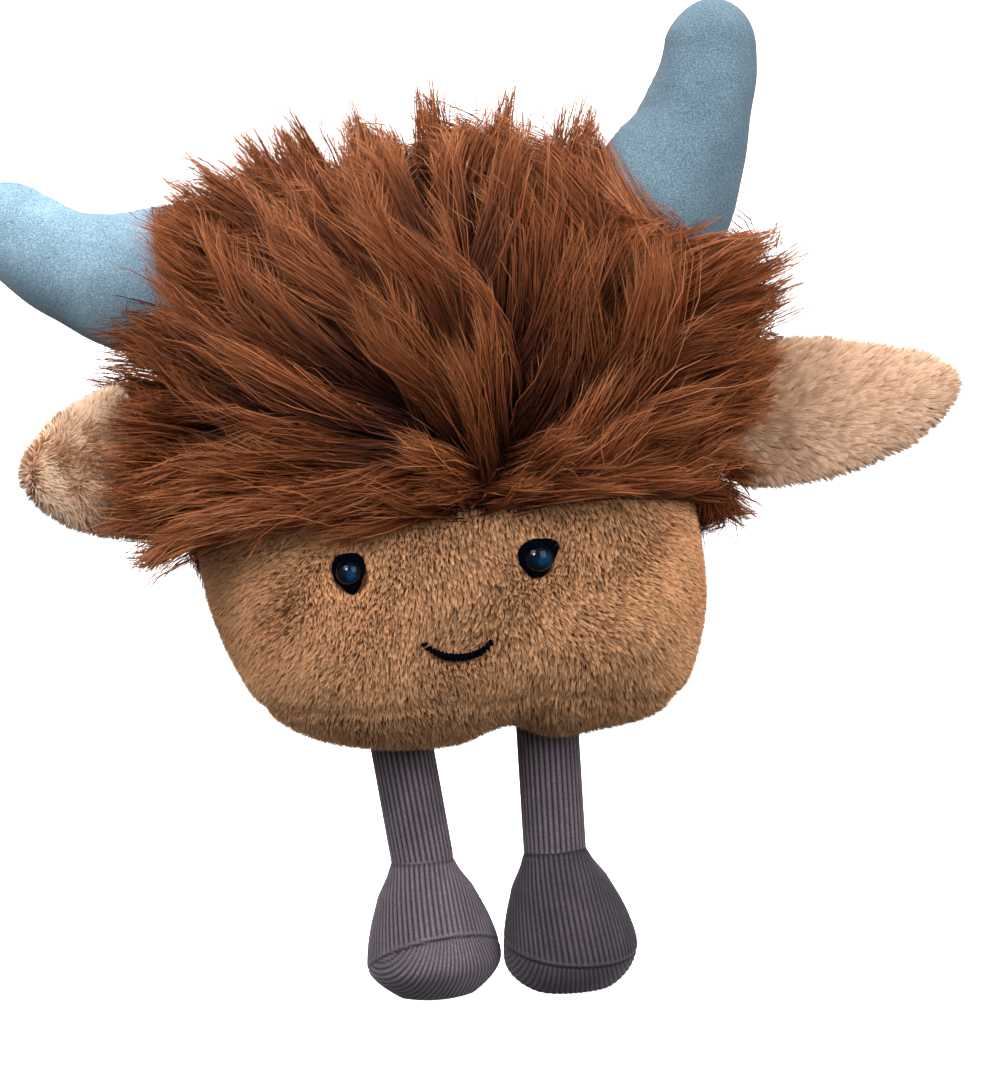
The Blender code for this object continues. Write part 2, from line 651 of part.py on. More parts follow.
def make_leg(side):
    """A stuffed corduroy tube with round ends, and a bell-shaped foot that turns on its lower end."""
    cord = finish(side + "_corduroy", CORD, 0.9)
    fill = finish(side + "_leg_fill", FILL, 1.0)
    left = side == "left"
    hip_x = BODY_MIDDLE_X + (LEFT_HIP_X if left else RIGHT_HIP_X)
    ankle_x = BODY_MIDDLE_X + (LEFT_ANKLE_X if left else RIGHT_ANKLE_X)
    sole_x = BODY_MIDDLE_X + (LEFT_SOLE_X if left else RIGHT_SOLE_X)
    radius = LEG_DIAMETER / 2
    under, _ = surface_hit(Vector((hip_x, LEG_Y, 0)), UP)
    hip = Vector((hip_x, LEG_Y, under.z - SEAM_GAP - radius))
    ankle = Vector((ankle_x, LEG_Y, ANKLE_Z))
    run = (ankle - hip).normalized()
    top = hip - run * radius
    foot_end = ankle + run * radius
    length = (foot_end - top).length

    def leg_spine(share):
        return top.lerp(foot_end, share)

    ends = (radius / length, radius / length, 2.0)
    thick = [LEG_DIAMETER] * len(LEG_STATION_SHARES)
    leg = (LEG_FACETS, leg_spine, LEG_STATION_SHARES, thick, thick, FRONT, ends)
    hip_pivot = pivot(side + "_hip_pivot", hip)
    ankle_pivot = pivot(side + "_ankle_pivot", ankle, hip_pivot)

    tube = limb_form(*leg)
    trim(tube, hip - run * HIP_COVER_RISE, -run, close=False)
    trim(tube, ankle + run * ANKLE_COVER_DROP, run, close=False)
    cover = add_object(side + "_leg_tube", tube, TOY, cord)
    give_wall(cover, CORD_CLOTH)
    hang(cover, hip_pivot)
    stuffing = add_object(
        side + "_leg_stuffing", limb_form(*leg, inset=CORD_CLOTH + SEAM_GAP), TOY, fill)
    hang(stuffing, hip_pivot)

    toe = Vector((sole_x, LEG_Y - FOOT_TOE_REACH, -FOOT_FLAT_CUT))

    def foot_spine(share):
        ease = share * share * (3 - 2 * share)
        flat = ankle.lerp(toe, ease)
        return Vector((flat.x, flat.y, ankle.z + (toe.z - ankle.z) * share))

    widths = [FOOT_WIDTH * share for share in FOOT_WIDTH_SHARES]
    depths = [FOOT_LENGTH * share for share in FOOT_WIDTH_SHARES]
    depths[0] = widths[0]
    depths[1] = widths[1]
    caps = (FOOT_TOP_SHARE, FOOT_CROWN_SHARE, FOOT_CROWN_POWER_SHARE)
    foot = (FOOT_FACETS, foot_spine, FOOT_STATION_SHARES, widths, depths, FRONT, caps)
    rise = math.radians(SOLE_SEAM_RISE_DEG)
    seam_normal = Vector((0, math.sin(rise), math.cos(rise)))
    seam_place = Vector((sole_x, LEG_Y, SOLE_SEAM_HEIGHT))
    neck = ankle - UP * NECK_DROP

    upper = limb_form(*foot)
    trim(upper, neck, UP, close=False)
    made = add_object(side + "_foot_upper", upper, TOY, cord)
    give_wall(made, CORD_CLOTH)
    cut_with(made, seam_block(made.name + "_seam", seam_place, -seam_normal, FOOT_LENGTH))
    hang(made, ankle_pivot)

    sole = limb_form(*foot)
    stand_flat(sole, 0)
    made = add_object(side + "_sole", sole, TOY, cord)
    give_wall(made, CORD_CLOTH)
    cut_with(made, seam_block(made.name + "_seam", seam_place, seam_normal, FOOT_LENGTH))
    hang(made, ankle_pivot)

    inside = limb_form(*foot, inset=CORD_CLOTH + SEAM_GAP)
    trim(inside, neck, UP, close=True)
    stand_flat(inside, CORD_CLOTH + SEAM_GAP)
    made = add_object(side + "_foot_stuffing", inside, TOY, fill)
    hang(made, ankle_pivot)
    cup = bmesh.new()
    bmesh.ops.create_uvsphere(
        cup, u_segments=FOOT_FACETS[0], v_segments=FOOT_FACETS[1], radius=radius + SEAM_GAP,
        matrix=Matrix.Translation(ankle))
    cut_with(made, add_object(side + "_ankle_cup", cup, CUTTERS))


def stand_flat(bm, floor):
    """Press the points that reach below a level flat onto it."""
    for vert in bm.verts:
        vert.co.z = max(vert.co.z, floor)


SKIN_GUARD = add_object("skin_guard", body_form(), CUTTERS)
STUFFING, PANELS = make_body()
for SIDE in ("left", "right"):
    make_eye(SIDE, STUFFING, PANELS["face_panel"])
    make_horn(SIDE, PANELS["fur_cap_" + SIDE])
    make_ear(SIDE, PANELS["fur_cap_" + SIDE])
    make_leg(SIDE)
make_mouth()
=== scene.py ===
# %% [markdown]
# A stuffed highland cow
#
# The toy is a pillow of caramel plush with a mop of long fur, two suede horns, two plush ears and
# two thin corduroy legs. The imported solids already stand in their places, one body for each part
# that moves. This lesson dresses them: each piece below is a surface worked out with numpy, or
# many thousands of small fibres laid on one. Lengths are in metres, and the face looks along -Y.

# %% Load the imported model
import math

import bpy
import numpy as np
from mathutils import Matrix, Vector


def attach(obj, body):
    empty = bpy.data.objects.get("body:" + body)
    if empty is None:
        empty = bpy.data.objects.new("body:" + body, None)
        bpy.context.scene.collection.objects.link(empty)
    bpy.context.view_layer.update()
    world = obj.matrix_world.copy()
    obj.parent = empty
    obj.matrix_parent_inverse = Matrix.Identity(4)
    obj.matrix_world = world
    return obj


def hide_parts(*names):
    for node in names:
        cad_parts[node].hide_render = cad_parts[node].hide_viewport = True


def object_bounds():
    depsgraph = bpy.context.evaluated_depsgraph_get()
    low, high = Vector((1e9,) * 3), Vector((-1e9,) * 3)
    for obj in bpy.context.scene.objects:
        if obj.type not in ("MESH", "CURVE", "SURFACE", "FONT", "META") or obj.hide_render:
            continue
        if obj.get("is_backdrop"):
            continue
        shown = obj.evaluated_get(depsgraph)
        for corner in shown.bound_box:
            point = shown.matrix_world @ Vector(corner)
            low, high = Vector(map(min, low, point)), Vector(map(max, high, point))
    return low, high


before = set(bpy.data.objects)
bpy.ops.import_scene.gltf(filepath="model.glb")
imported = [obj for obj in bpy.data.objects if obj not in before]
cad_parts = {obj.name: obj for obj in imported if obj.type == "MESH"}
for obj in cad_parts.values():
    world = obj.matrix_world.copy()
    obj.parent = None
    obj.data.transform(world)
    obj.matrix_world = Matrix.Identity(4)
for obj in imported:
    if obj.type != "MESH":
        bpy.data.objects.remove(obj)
CAD_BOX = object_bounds()
MM = 0.001

# %% [markdown]
# Camera, floor and light
#
# The photograph looks straight at the face from about arm's length, a little rolled, so that the
# toy leans in the picture. The camera takes the same roll and a long lens. A photographer would
# stand the toy on a white sweep under soft boxes, so a curved white sheet and large soft lights
# do here. The world adds a weak light from all sides, stronger from above than from below.


# %% Helpers that add an object and place it
def add_object(name, data):
    """An object in the scene for its data: a mesh, a light or a camera."""
    made = bpy.data.objects.new(name, data)
    bpy.context.scene.collection.objects.link(made)
    return made


def stand(made, place, right, up, back):
    """An object is moved to a place, with its own X, Y and Z along right, up and back."""
    turn = Matrix((right, up, back)).transposed().to_4x4()
    made.matrix_world = Matrix.Translation(place) @ turn


# %% Camera
CAMERA_X, CAMERA_DISTANCE, CAMERA_HEIGHT = 0.0039, 0.80, 0.1258
SEEN_HEIGHT = 0.3038
# The sine of the roll, which is 4.5 degrees, and its cosine.
ROLL = 0.0785
UPRIGHT = math.sqrt(1 - ROLL * ROLL)
camera_data = bpy.data.cameras.new("camera")
camera_data.sensor_width = 36.0
camera_data.lens = camera_data.sensor_width / SEEN_HEIGHT * CAMERA_DISTANCE
camera = add_object("camera", camera_data)
stand(camera, (CAMERA_X, -CAMERA_DISTANCE, CAMERA_HEIGHT),
      right=(UPRIGHT, 0, -ROLL), up=(ROLL, 0, UPRIGHT), back=(0, -1, 0))
bpy.context.scene.camera = camera
bpy.context.scene.view_settings.view_transform = "Standard"
print("lens", round(camera_data.lens, 1), "mm")


# %% Helpers that turn arrays into meshes
def add_mesh(name, points, quads, tris, material, uv=None):
    """A mesh from arrays of points, quads and tris. uv holds one pair for each face corner."""
    mesh = bpy.data.meshes.new(name)
    quads = np.asarray(quads, np.int64).reshape(-1, 4)
    tris = np.asarray(tris, np.int64).reshape(-1, 3)
    corners = np.concatenate([quads.ravel(), tris.ravel()])
    starts = np.concatenate([
        np.arange(len(quads)) * 4, len(quads) * 4 + np.arange(len(tris)) * 3])
    mesh.vertices.add(len(points))
    mesh.vertices.foreach_set("co", np.asarray(points, np.float32).ravel())
    mesh.loops.add(len(corners))
    mesh.loops.foreach_set("vertex_index", corners.astype(np.int32))
    mesh.polygons.add(len(starts))
    mesh.polygons.foreach_set("loop_start", starts.astype(np.int32))
    mesh.update(calc_edges=True)
    mesh.validate()
    mesh.shade_smooth()
    if uv is not None:
        layer = mesh.uv_layers.new(name="OFBake")
        layer.data.foreach_set("uv", np.asarray(uv, np.float32).ravel())
    mesh.materials.append(material)
    made = add_object(name, mesh)
    print(f"{name}: {len(quads) * 2 + len(tris)} triangles")
    return made


def add_values(made, name, values):
    """Keeps a number for each point of a piece, for its finish to read by name."""
    held = made.data.attributes.new(name, "FLOAT", "POINT")
    held.data.foreach_set("value", values.astype(np.float32))


def unit(vectors):
    """The same directions with length one."""
    return vectors / np.maximum(np.linalg.norm(vectors, axis=-1, keepdims=True), 1e-12)


def in_cloth(vectors, normals):
    """The part of each vector that lies in the cloth: less its dot product with the normal."""
    return vectors - normals * np.einsum("...j,...j->...", vectors, normals)[..., None]


def signed_power(value, power):
    """A number's size raised to a power, with its sign kept."""
    return np.sign(value) * np.abs(value) ** power


def bell(distance, width):
    """A smooth bump: one at distance zero, and nearly nothing beyond two widths."""
    return np.exp(-(distance / width) ** 2)


def ease(low, high, value):
    """Nothing below low, one above high, and a smooth step between."""
    share = np.clip((value - low) / (high - low), 0, 1)
    return share * share * (3 - 2 * share)


def closed_grid(points, top, bottom):
    """Faces of rows of rings, closed round each ring and closed by a fan at both ends.

    points is rows by columns by 3. The two poles follow the rings' points. The faces' order is
    turned round where the volume that they hold comes out negative, so they point outwards.
    """
    rows, cols = points.shape[:2]
    index = np.arange(rows * cols).reshape(rows, cols)
    after = np.roll(index, -1, axis=1)
    quads = np.stack([index[:-1], index[1:], after[1:], after[:-1]], axis=-1).reshape(-1, 4)
    first, last = rows * cols, rows * cols + 1
    top_fan = np.stack([np.full(cols, first), index[0], after[0]], axis=-1)
    bottom_fan = np.stack([np.full(cols, last), after[-1], index[-1]], axis=-1)
    tris = np.concatenate([top_fan, bottom_fan])
    every = np.concatenate([points.reshape(-1, 3), [top, bottom]])
    a, b, c, d = (every[quads[:, i]] for i in range(4))
    volume = (np.einsum("ij,ij->i", a, np.cross(b, c)).sum()
              + np.einsum("ij,ij->i", a, np.cross(c, d)).sum())
    if volume < 0:
        quads, tris = quads[:, ::-1], tris[:, ::-1]
    return every, quads, tris


def grid_normals(points):
    """Outward directions on a ring grid, from the cross product of its two runs."""
    along = np.gradient(points, axis=0)
    around = (np.roll(points, -1, axis=1) - np.roll(points, 1, axis=1)) / 2
    normals = unit(np.cross(along, around))
    middle = points.reshape(-1, 3).mean(axis=0)
    if np.einsum("ijk,ijk->ij", normals, points - middle).mean() < 0:
        normals = -normals
    return normals


def hash_noise(cells, seed):
    """Three numbers from 0 to 1 for each whole-numbered cell, always the same for one cell."""
    low_32_bits = 0xFFFFFFFF
    state = ((cells[:, 0] * 73856093) ^ (cells[:, 1] * 19349663)
             ^ (cells[:, 2] * 83492791) ^ (seed * 2654435761))
    state &= low_32_bits
    out = []
    for step in range(3):
        state = (state * 1664525 + 1013904223 + step) & low_32_bits
        state ^= state >> 13
        state = (state * 1274126177) & low_32_bits
        state ^= state >> 16
        out.append((state & 0xFFFF) / 65535)
    return np.stack(out, axis=-1)


def tuft_centres(points, spacing, seed):
    """The nearest of scattered centres, one in each cell of a cubic grid, for every point.

    Also gives the centre's own tone from 0 to 1, the same for all fibres of one tuft.
    """
    scaled = points / spacing
    cells = np.floor(scaled).astype(np.int64)
    best = np.full(len(points), np.inf)
    found = np.zeros_like(points)
    tone = np.zeros(len(points))
    for x in (-1, 0, 1):
        for y in (-1, 0, 1):
            for z in (-1, 0, 1):
                cell = cells + (x, y, z)
                place = cell + hash_noise(cell, seed)
                far = ((place - scaled) ** 2).sum(axis=1)
                near = far < best
                best = np.where(near, far, best)
                found[near] = place[near]
                tone[near] = hash_noise(cell, seed + 1)[near, 0]
    return found * spacing, tone


def soft_waves(points, size, seed):
    """Slow lumps of about one size: nine sine waves in scattered directions, near -1 to 1."""
    dice = np.random.default_rng(seed)
    total = np.zeros(points.shape[:-1])
    for _ in range(9):
        direction = unit(dice.normal(size=3))
        wave = 2 * math.pi / (size * dice.uniform(0.7, 1.6))
        total += np.sin(points @ direction * wave + dice.uniform(0, 2 * math.pi))
    return total / 3


# %% [markdown]
# Finishes
#
# Every cloth here is dull, but none is one flat colour. Fibres carry their own pair of numbers:
# the first runs from the root to the tip, the second is the fibre's tone, to which painted light
# and shade are added in places. A fibre's root is painted darker than its tip, because less light
# gets down to it. The grain of the suede and the fuzz of the corduroy are noise in the space of the
# object, at the real scale.


# %% A finish and its nodes
def plain_finish(name, roughness, specular, sheen=0.0, sheen_tint=(1, 1, 1)):
    """A Principled finish. Constants sit on the shader's own sockets."""
    made = bpy.data.materials.new(name)
    made.use_nodes = True
    shader = made.node_tree.nodes["Principled BSDF"]
    shader.inputs["Roughness"].default_value = roughness
    shader.inputs["Specular IOR Level"].default_value = specular
    shader.inputs["Sheen Weight"].default_value = sheen
    shader.inputs["Sheen Roughness"].default_value = 0.5
    shader.inputs["Sheen Tint"].default_value = (*sheen_tint, 1)
    return made, shader


def node(material, kind, inputs=(), **settings):
    """A new node with its settings and inputs, each a value or another node's output.

    material is a finish, or the world.
    """
    made = material.node_tree.nodes.new(kind)
    for key, value in settings.items():
        setattr(made, key, value)
    for key, value in dict(inputs).items():
        socket = made.inputs[key]
        if isinstance(value, bpy.types.NodeSocket):
            material.node_tree.links.new(value, socket)
        else:
            socket.default_value = value
    return made


def ramp(material, factor, stops):
    """A colour ramp: stops are (place, colour) pairs."""
    made = node(material, "ShaderNodeValToRGB", {"Fac": factor})
    band = made.color_ramp
    while len(band.elements) < len(stops):
        band.elements.new(0.5)
    for element, (place, colour) in zip(band.elements, stops):
        element.position = place
        element.color = (*colour, 1)
    return made.outputs["Color"]


def noise(material, scale, detail, roughness=0.5):
    """Noise in the space of the object, scale in lumps per metre."""
    place = node(material, "ShaderNodeTexCoord").outputs["Object"]
    made = node(material, "ShaderNodeTexNoise", {
        "Vector": place, "Scale": scale, "Detail": detail, "Roughness": roughness})
    return made.outputs["Fac"]


def mixed(material, factor, first, second, blend="MIX"):
    """Two colours mixed by a factor."""
    made = node(material, "ShaderNodeMix", data_type="RGBA", blend_type=blend)
    for place, value in ((0, factor), (6, first), (7, second)):
        socket = made.inputs[place]
        if isinstance(value, bpy.types.NodeSocket):
            material.node_tree.links.new(value, socket)
        else:
            socket.default_value = value if place == 0 else (*value, 1)
    return made.outputs[2]


def times(material, first, second):
    """Two colours multiplied, channel by channel."""
    return mixed(material, 1.0, first, second, "MULTIPLY")


def coloured(material, shader, colour):
    """The colour that a node gives becomes the finish's own."""
    material.node_tree.links.new(colour, shader.inputs["Base Color"])


def share_along(material, axis, low, high):
    """How far a place is from low to high along one axis of the object, from 0 to 1."""
    place = node(material, "ShaderNodeTexCoord").outputs["Object"]
    along = node(material, "ShaderNodeSeparateXYZ", {"Vector": place}).outputs[axis]
    return node(material, "ShaderNodeMapRange", {
        "Value": along, "From Min": low, "From Max": high}).outputs["Result"]


def bumped(material, shader, height, distance, strength):
    """Fine relief on a finish, its distance in metres."""
    made = node(material, "ShaderNodeBump", {
        "Height": height, "Distance": distance, "Strength": strength})
    material.node_tree.links.new(made.outputs["Normal"], shader.inputs["Normal"])


def fibre_finish(name, along, tones, roughness, specular, sheen, sheen_tint=(1, 1, 1)):
    """Colour runs along the fibre by the map's U, times the fibre's tone, with its painted light and
    shade, by its V.
    """
    made, shader = plain_finish(name, roughness, specular, sheen, sheen_tint)
    place = node(made, "ShaderNodeUVMap", uv_map="OFBake")
    split = node(made, "ShaderNodeSeparateXYZ", {"Vector": place.outputs["UV"]})
    base = ramp(made, split.outputs["X"], along)
    tone = ramp(made, split.outputs["Y"], tones)
    coloured(made, shader, times(made, base, tone))
    return made


FUR_FINISH = fibre_finish(
    "chestnut_fur",
    [(0.0, (0.014, 0.0035, 0.0025)), (0.30, (0.068, 0.0155, 0.0048)), (0.62, (0.172, 0.042, 0.0105)),
     (1.0, (0.335, 0.112, 0.037))],
    [(0.0, (0.36, 0.33, 0.36)), (0.5, (1.0, 1.0, 1.0)), (0.8, (1.34, 1.42, 1.55)),
     (1.0, (1.85, 2.35, 3.40))],
    0.6, 0.10, 0.0)
PLUSH_FINISH = fibre_finish(
    "caramel_plush",
    [(0.0, (0.110, 0.042, 0.016)), (0.50, (0.560, 0.272, 0.120)), (1.0, (0.960, 0.560, 0.300))],
    [(0.0, (0.36, 0.33, 0.33)), (0.5, (1.0, 1.0, 1.0)), (1.0, (1.40, 1.42, 1.44))],
    0.8, 0.1, 0.15, (1.0, 0.85, 0.7))
EAR_FINISH = fibre_finish(
    "ear_plush",
    [(0.0, (0.360, 0.170, 0.085)), (0.45, (0.780, 0.480, 0.290)), (1.0, (0.970, 0.720, 0.530))],
    [(0.0, (0.55, 0.46, 0.40)), (0.5, (1.0, 1.0, 1.0)), (1.0, (1.07, 1.15, 1.22))],
    0.75, 0.12, 0.2, (1.0, 0.9, 0.8))


# The heights between which the backing of the plush gives way to the darker backing of the fur, a
# painted shade.
BACKING_CHANGE = (0.1355, 0.1375)


def backing_finish(name, dark, light, crown=None):
    """The knitted backing between the fibres' roots: mottled and dark, a painted shade deep in the
    pile, and nearly black where the fur grows, a painted shade under the long fur.
    """
    made, shader = plain_finish(name, 0.95, 0.05)
    colour = ramp(made, noise(made, 900, 3), [(0.3, dark), (0.7, light)])
    if crown is not None:
        colour = mixed(made, share_along(made, "Z", *BACKING_CHANGE), colour, crown)
    coloured(made, shader, colour)
    bumped(made, shader, noise(made, 2200, 1), 0.3 * MM, 0.6)
    return made


# The backing's dark colours are painted shade; the crown colour is nearly black, a painted shade
# under the long fur.
PLUSH_BACKING = backing_finish(
    "plush_backing", (0.20, 0.085, 0.032), (0.36, 0.170, 0.070), crown=(0.020, 0.007, 0.005))
EAR_BACKING = backing_finish("ear_backing", (0.34, 0.17, 0.09), (0.55, 0.32, 0.18))
print("fibre finishes ready")

# %% [markdown]
# The stuffed body
#
# The body is one pillow. In plan and in height its outline is a superellipse, a curve between an
# ellipse and a rectangle. A stuffed bag never keeps that shape exactly: its lower left corner is
# slack, the base puckers between the legs, and the thread of the mouth and eyes pulls the face in.
# The skin is the formula's surface, moved along its normals by these dents and by slow lumps.

# %% Body surface
BODY_X = -0.0088
BODY_SIZE = (0.1400, 0.1040, 0.1570)
BODY_BOTTOM = 0.0701
WAIST_RISE = 0.0510
WAIST = BODY_BOTTOM + WAIST_RISE
BASE_SEAM = BODY_BOTTOM + 0.0130
FUR_SEAM = BODY_BOTTOM + 0.0670
PLAN_POWER, LOW_POWER, HIGH_POWER = 2.6, 2.8, 2.2
# The pucker of the base between the legs: its place along X, its width and its depth.
CREASE_X, CREASE_WIDE, CREASE_DEEP = 0.0115, 0.0090, 0.0050
# X and Z of the right eye, the left eye, and the place where the smile's thread pulls.
EYES = ((-0.0349, 0.1210), (0.0143, 0.1210))
MOUTH = (-0.0083, 0.0989)


def body_point(turn, level):
    """Superellipses: power 2.6 in plan, and in height 2.8 below the waist and 2.2 above it.

    turn is the angle round the vertical axis, and level runs from -1, the base, to 1, the crown.
    """
    ring = np.sqrt(np.clip(1 - level * level, 0, 1))
    power = np.where(level > 0, HIGH_POWER, LOW_POWER)
    reach = np.where(level > 0, BODY_SIZE[2] - WAIST_RISE, WAIST_RISE)
    wide = ring ** (2 / power)
    x = signed_power(np.cos(turn), 2 / PLAN_POWER) * wide * BODY_SIZE[0] / 2
    y = signed_power(np.sin(turn), 2 / PLAN_POWER) * wide * BODY_SIZE[1] / 2
    z = signed_power(level, 2 / power) * reach
    z = z + CREASE_DEEP * bell(x - CREASE_X, CREASE_WIDE) * np.maximum(-level, 0) ** 3
    return np.stack([BODY_X + x, y, WAIST + z], axis=-1)


def dents(points):
    """How far the stuffed skin lies inside its plain form, in metres: a sum of bells.

    In order: the slack corner on the toy's right, the full corner on its left, a pit at each eye
    and at the smile, a crease on the left cheek, the side seam, the base seam, and slow lumps.
    """
    x, y, z = points[..., 0] - BODY_X, points[..., 1], points[..., 2]
    front = ease(0, 0.03, -y)
    pull = 3.6 * MM * bell(np.hypot(x + 0.066, z - 0.096), 0.020)
    pull = pull - 5.5 * MM * bell(np.hypot(x - 0.0560, (z - 0.0790) * 1.1), 0.016)
    for eye_x, eye_z in EYES:
        pull = pull + front * 1.4 * MM * bell(np.hypot(x + BODY_X - eye_x, z - eye_z), 0.0085)
    off_mouth = np.hypot((x + BODY_X - MOUTH[0]) * 0.55, z - MOUTH[1])
    pull = pull + front * 1.2 * MM * bell(off_mouth, 0.0055)
    off_crease = x - 0.020 - (z - 0.08) * 0.5
    pull = pull + front * 1.8 * MM * bell(off_crease, 0.006) * bell(z - 0.080, 0.012)
    pull = pull + 1.2 * MM * bell(np.abs(y), 0.0016) * (z < FUR_SEAM + 0.004)
    pull = pull + 0.9 * MM * bell(z - BASE_SEAM, 0.0015)
    return pull - 0.7 * MM * soft_waves(points, 0.045, 11)


BODY_ROWS, BODY_COLS = 120, 240
levels = np.cos(np.linspace(0, math.pi, BODY_ROWS + 2)[1:-1])
turns = np.linspace(0, 2 * math.pi, BODY_COLS, endpoint=False)
BODY_GRID = body_point(turns[None, :], levels[:, None])
BODY_NORMALS = grid_normals(BODY_GRID)
SKIN_DEPTH = 2.3 * MM
BODY_GRID = BODY_GRID - BODY_NORMALS * (dents(BODY_GRID)[..., None] + SKIN_DEPTH)
BODY_NORMALS = grid_normals(BODY_GRID)
crown = BODY_GRID[0].mean(axis=0) + (0, 0, 0.0002)
base = BODY_GRID[-1].mean(axis=0) - (0, 0, 0.0001)
body = add_mesh("body_cover", *closed_grid(BODY_GRID, crown, base), PLUSH_BACKING)
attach(body, "torso")
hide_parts("body_stuffing", "face_panel", "back_panel", "base_panel")


# %% Scatter roots over a surface
def scatter(points, normals, count, dice, keep):
    """Roots spread evenly over a ring grid: cells drawn by their area, then a place inside each.

    keep gives a share from 0 to 1 for each cell's middle, and thins the roots where it is low.
    """
    a, b = points[:-1], points[1:]
    c, d = np.roll(a, -1, axis=1), np.roll(b, -1, axis=1)
    area = np.linalg.norm(np.cross(b - c, a - d), axis=-1) / 2
    area = area * keep((a + b + c + d) / 4)
    cells = dice.choice(area.size, size=count, p=(area / area.sum()).ravel())
    row, col = np.unravel_index(cells, area.shape)
    beside = (col + 1) % points.shape[1]
    s, t = dice.random((2, count, 1))
    out = []
    for grid in (points, normals):
        upper = grid[row, col] * (1 - s) + grid[row, beside] * s
        lower = grid[row + 1, col] * (1 - s) + grid[row + 1, beside] * s
        out.append(upper * (1 - t) + lower * t)
    return out[0], unit(out[1]), area.sum()


def blades(name, roots, normals, lean, length, width, tufts, tuft_pull, dice, material,
           tone_and_painted_light_of):
    """Short pile: each fibre is a thin triangle that leans by the vector lean.

    Its tip is drawn towards the centre of its tuft. The shading normals lie halfway between the
    blade's own and the cloth's, because a round fibre catches light that a flat blade misses.
    """
    count = len(roots)
    length = np.broadcast_to(length, count)[:, None] * dice.uniform(0.75, 1.15, (count, 1))
    centre, tone = tuft_centres(roots, tufts, 5)
    to_centre = in_cloth(centre - roots, normals)
    aim = unit(normals + lean + dice.normal(scale=0.14, size=(count, 3)))
    twisted = normals + dice.normal(scale=0.5, size=(count, 3))
    half = unit(np.cross(aim, twisted)) * width / 2
    tip = roots + aim * length + to_centre * tuft_pull
    points = np.stack([roots - half, roots + half, tip], axis=1)
    face = unit(np.cross(points[:, 1] - points[:, 0], points[:, 2] - points[:, 0]))
    wrong = np.einsum("ij,ij->i", face, normals) < 0
    points[wrong] = points[wrong][:, [1, 0, 2]]
    face[wrong] *= -1
    tone = np.clip(0.5 + (tone - 0.5) * 0.5 + dice.normal(scale=0.11, size=count), 0.02, 0.98)
    # The painted light and shade for each root is added to its tone.
    tone = np.clip(tone + tone_and_painted_light_of(roots), 0.02, 0.98)
    uv = np.stack([np.broadcast_to(np.array([0.02, 0.02, 0.98]), (count, 3)),
                   np.broadcast_to(tone[:, None], (count, 3))], axis=-1)
    made = add_mesh(name, points.reshape(-1, 3), np.zeros((0, 4)), np.arange(count * 3), material, uv)
    soft = np.repeat(unit(face * 0.45 + normals * 0.75), 3, axis=0)
    made.data.normals_split_custom_set_from_vertices(soft)
    return made


# %% [markdown]
# Short plush
#
# The body's plush has a dense pile of about 3 mm. Its fibres stand in small tufts whose tips lean
# together, and the dark gaps between the tufts are what the eye reads as plush. A hair system
# would not leave this file as a mesh, so each fibre is one thin leaning triangle. On the upper
# face they are brushed down and outwards, as fingers leave them.


# %% Body pile
# The smile: its middle, the height of its lowest point and half its width, and how far its ends rise.
SMILE_X, SMILE_Z, SMILE_HALF, SMILE_RISE = -0.0082, 0.0969, 0.0089, 0.0040


def body_lean(roots, normals):
    """The nap: down and away from the middle of the face, turned by slow waves."""
    x = (roots[:, :1] - BODY_X) / 0.07
    nap = np.concatenate([0.35 * x, np.zeros_like(x), np.full_like(x, -0.75)], axis=1)
    for axis, seed in ((0, 21), (2, 22)):
        nap[:, axis] += 0.45 * soft_waves(roots, 0.03, seed)
    return in_cloth(nap, normals) * 0.75


def face_tone_and_painted_shade(roots):
    """Painted shade: darker in the middle of the face and on the toy's left cheek, where the face
    lies in shade. The pile is also paler towards both sides, and round the eyes and the smile.
    """
    # high and cheek are painted shade; right and left make both sides paler.
    high = 0.20 * bell(np.hypot(roots[:, 0] + 0.004, roots[:, 2] - 0.114), 0.026)
    cheek = 0.24 * bell(np.hypot((roots[:, 0] - 0.036) * 0.8, roots[:, 2] - 0.090), 0.013)
    right = ease(-0.010, -0.050, roots[:, 0]) * 0.24
    left = ease(0.035, 0.060, roots[:, 0]) * 0.22
    off_smile = np.abs(roots[:, 0] - SMILE_X) / SMILE_HALF
    smile_z = SMILE_Z + SMILE_RISE * np.clip(off_smile, 0, 1.1) ** 2
    halo = bell(roots[:, 2] - smile_z + 0.0022, 0.0011) * ease(1.15, 0.85, off_smile)
    for eye_x, eye_z in EYES:
        halo = halo + 0.8 * bell(np.hypot(roots[:, 0] - eye_x, roots[:, 2] - eye_z) - 0.0062, 0.0010)
    shade = 0.05 * soft_waves(roots, 0.05, 51) - high - cheek + right + left + 0.05
    return shade + 0.34 * halo * (roots[:, 1] < 0)


def on_side(front):
    """Picks places between the base seam and the fur seam, on the front or on the back."""
    def keep(p):
        """Whether each place lies there."""
        below_fur = p[..., 2] < FUR_SEAM - 0.0005
        return ((p[..., 1] < 0) == front) & below_fur & (p[..., 2] > BASE_SEAM)
    return keep


EYE_CLEARING = 0.0050
dice = np.random.default_rng(3)
for part, count, keep in (("front", 125000, on_side(True)), ("back", 85000, on_side(False)),
                          ("base", 40000, lambda p: p[..., 2] <= BASE_SEAM)):
    roots, normals, area = scatter(BODY_GRID, BODY_NORMALS, count, dice, keep)
    grows = np.ones(len(roots), bool)
    for eye_x, eye_z in EYES:
        off_eye = np.hypot(roots[:, 0] - eye_x, roots[:, 2] - eye_z)
        grows &= (off_eye > EYE_CLEARING) | (roots[:, 1] > 0)
    roots, normals = roots[grows], normals[grows]
    made = blades("body_pile_" + part, roots, normals, body_lean(roots, normals), 2.7 * MM, 0.36 * MM,
                  1.25 * MM, 0.60, dice, PLUSH_FINISH, face_tone_and_painted_shade)
    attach(made, "torso")
    print(part, "pile covers", round(area * 1e6), "square mm")

